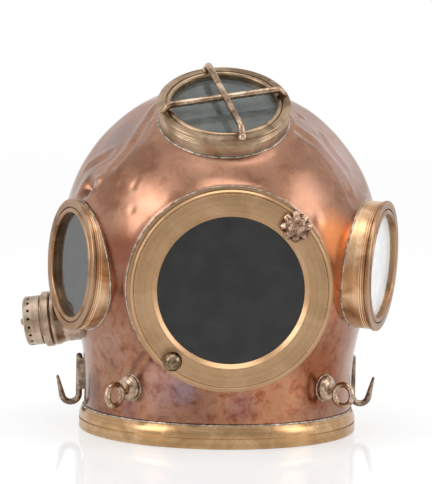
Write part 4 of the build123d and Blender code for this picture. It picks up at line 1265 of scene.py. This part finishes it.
# %% Cast and drawn fittings
INLET_NODES = ("inlet_flange", "inlet_elbow", "inlet_valve_body", "inlet_valve_guide", "inlet_valve_disc")
DUCT_NODES = ("air_duct_left", "air_duct_right", "air_duct_top", "air_junction")
SPRING_NODES = ("exhaust_spring", "inlet_valve_spring")
for name, colours, rough, size_mm, nodes in (
    ("brass_cast_inlet", ("#6B5334", "#A3875C", "#CDB283"), 0.30, 12, INLET_NODES),
    ("bronze_cast_hooks", ("#4A3D33", "#7F6C5C", "#B5A18C"), 0.32, 6, ("hook_left", "hook_right")),
    ("brass_cast_eyes", ("#6A5241", "#A48A73", "#D2BAA4"), 0.24, 6, ("eye_left", "eye_right")),
    ("bronze_turned_ball", ("#40352A", "#69573F", "#96836C"), 0.18, 8, ("ball_knob",)),
    ("brass_drawn_rod", ("#66513F", "#A1866E", "#D0B9A2"), 0.26, 10, ("guard_bar_long", "guard_bar_cross")),
    ("bronze_drawn_wire", ("#6C5230", "#A98656", "#CFAE7C"), 0.28, 6, SPRING_NODES),
    ("copper_sheet_tinned", ("#6E5A50", "#97857A", "#B7A89E"), 0.42, 18, DUCT_NODES),
):
    give(cast_metal(name, *colours, rough=rough, size_mm=size_mm), *nodes)
give(leather_material, "faceplate_gasket", "exhaust_seat_washer")
for side in ("left", "right", "top"):
    give(leather_material, side + "_port_gasket")
for node, material in glass_materials.items():
    give(material, node)
print("materials", len(bpy.data.materials))

# %% [markdown]
# ## Floor, world and lamps
#
# The photograph shows the helmet on white with a faint reflection under it.
# The studio is white all round, but grey behind the camera, as a real studio
# is, which gives the copper its darker middle and its pale edges. More light
# would make the floor white too, but it would wash out the metal, so the floor
# glows a little for the rays that look at it and keeps the helmet's shadow.

# %% Floor
FLOOR_SIZE = 12.0
FLOOR_DROP = 0.2 * MM
FLOOR_GLOW_SHARE = 0.56


def make_floor():
    bm = bmesh.new()
    bmesh.ops.create_grid(bm, x_segments=8, y_segments=8, size=FLOOR_SIZE / 2)
    floor = put_in_scene("studio_floor", mesh_of(bm, "studio_floor"))
    floor.location = (0, 0, cad_low[2] - FLOOR_DROP)
    material, add, coordinates = new_material("floor_white_gloss")
    surface = {"Base Color": "#F4F4F4", "Roughness": 0.07, "Specular IOR Level": 0.6}
    gloss = add("BsdfPrincipled", inputs=surface)
    rays = add("LightPath").node.outputs
    inputs = {0: rays["Is Camera Ray"], 1: rays["Is Glossy Ray"]}
    seen = add("Math", HIGHER, inputs)
    inputs = {0: seen, 1: rays["Is Transmission Ray"]}
    seen = add("Math", HIGHER, inputs)
    share = add("Math", TIMES, {0: seen, 1: FLOOR_GLOW_SHARE})
    glow = add("Emission", inputs={"Color": "#FFFFFF", "Strength": 1.0})
    mixed = add("MixShader", inputs={0: share, 1: gloss, 2: glow})
    add("OutputMaterial", inputs={"Surface": mixed})
    floor.data.materials.append(material)
    print("floor", FLOOR_SIZE, "m wide")


make_floor()

# %% World
FRONT_LEVEL = 0.64
BACK_LEVEL = 1.0


def make_world():
    world = bpy.data.worlds.new("white_studio")
    bpy.context.scene.world = world
    world.use_nodes = True
    world.node_tree.nodes.clear()
    add = partial(add_node, world.node_tree)
    direction = add("TexCoord", output="Generated")
    forwards = add("SeparateXYZ", inputs={0: direction}, output=1)
    level = add("MapRange", SMOOTH, spread(forwards, -0.95, -0.25, FRONT_LEVEL, BACK_LEVEL))
    rays = add("LightPath").node.outputs
    inputs = {0: rays["Is Camera Ray"], 1: rays["Is Transmission Ray"]}
    seen = add("Math", HIGHER, inputs)
    strength = add("Mix", {"data_type": "FLOAT"}, {0: seen, 2: level, 3: 1.0})
    background = add("Background", inputs={"Color": "#FFFFFF", "Strength": strength})
    add("OutputWorld", inputs={"Surface": background})
    print("world light from", FRONT_LEVEL, "to", BACK_LEVEL)


make_world()


# %% Lamps
def soft_lamp(name, spot, size, power):
    data = bpy.data.lights.new(name, "AREA")
    data.shape = "RECTANGLE"
    data.size, data.size_y = size
    data.energy = power
    lamp = put_in_scene(name, data)
    lamp.location = spot
    aim = Vector((0, 0, (cad_low[2] + cad_high[2]) / 2))
    lamp.rotation_euler = (aim - Vector(spot)).to_track_quat("-Z", "Y").to_euler()
    print(name, power, "W")


soft_lamp("lamp_left", (-1.9, -1.1, 1.1), (1.0, 1.4), 16)
soft_lamp("lamp_right", (2.0, -0.9, 1.0), (0.9, 1.4), 12)
soft_lamp("lamp_top", (0.1, -0.5, 2.1), (1.6, 1.0), 12)
bpy.context.scene.view_settings.view_transform = "Standard"
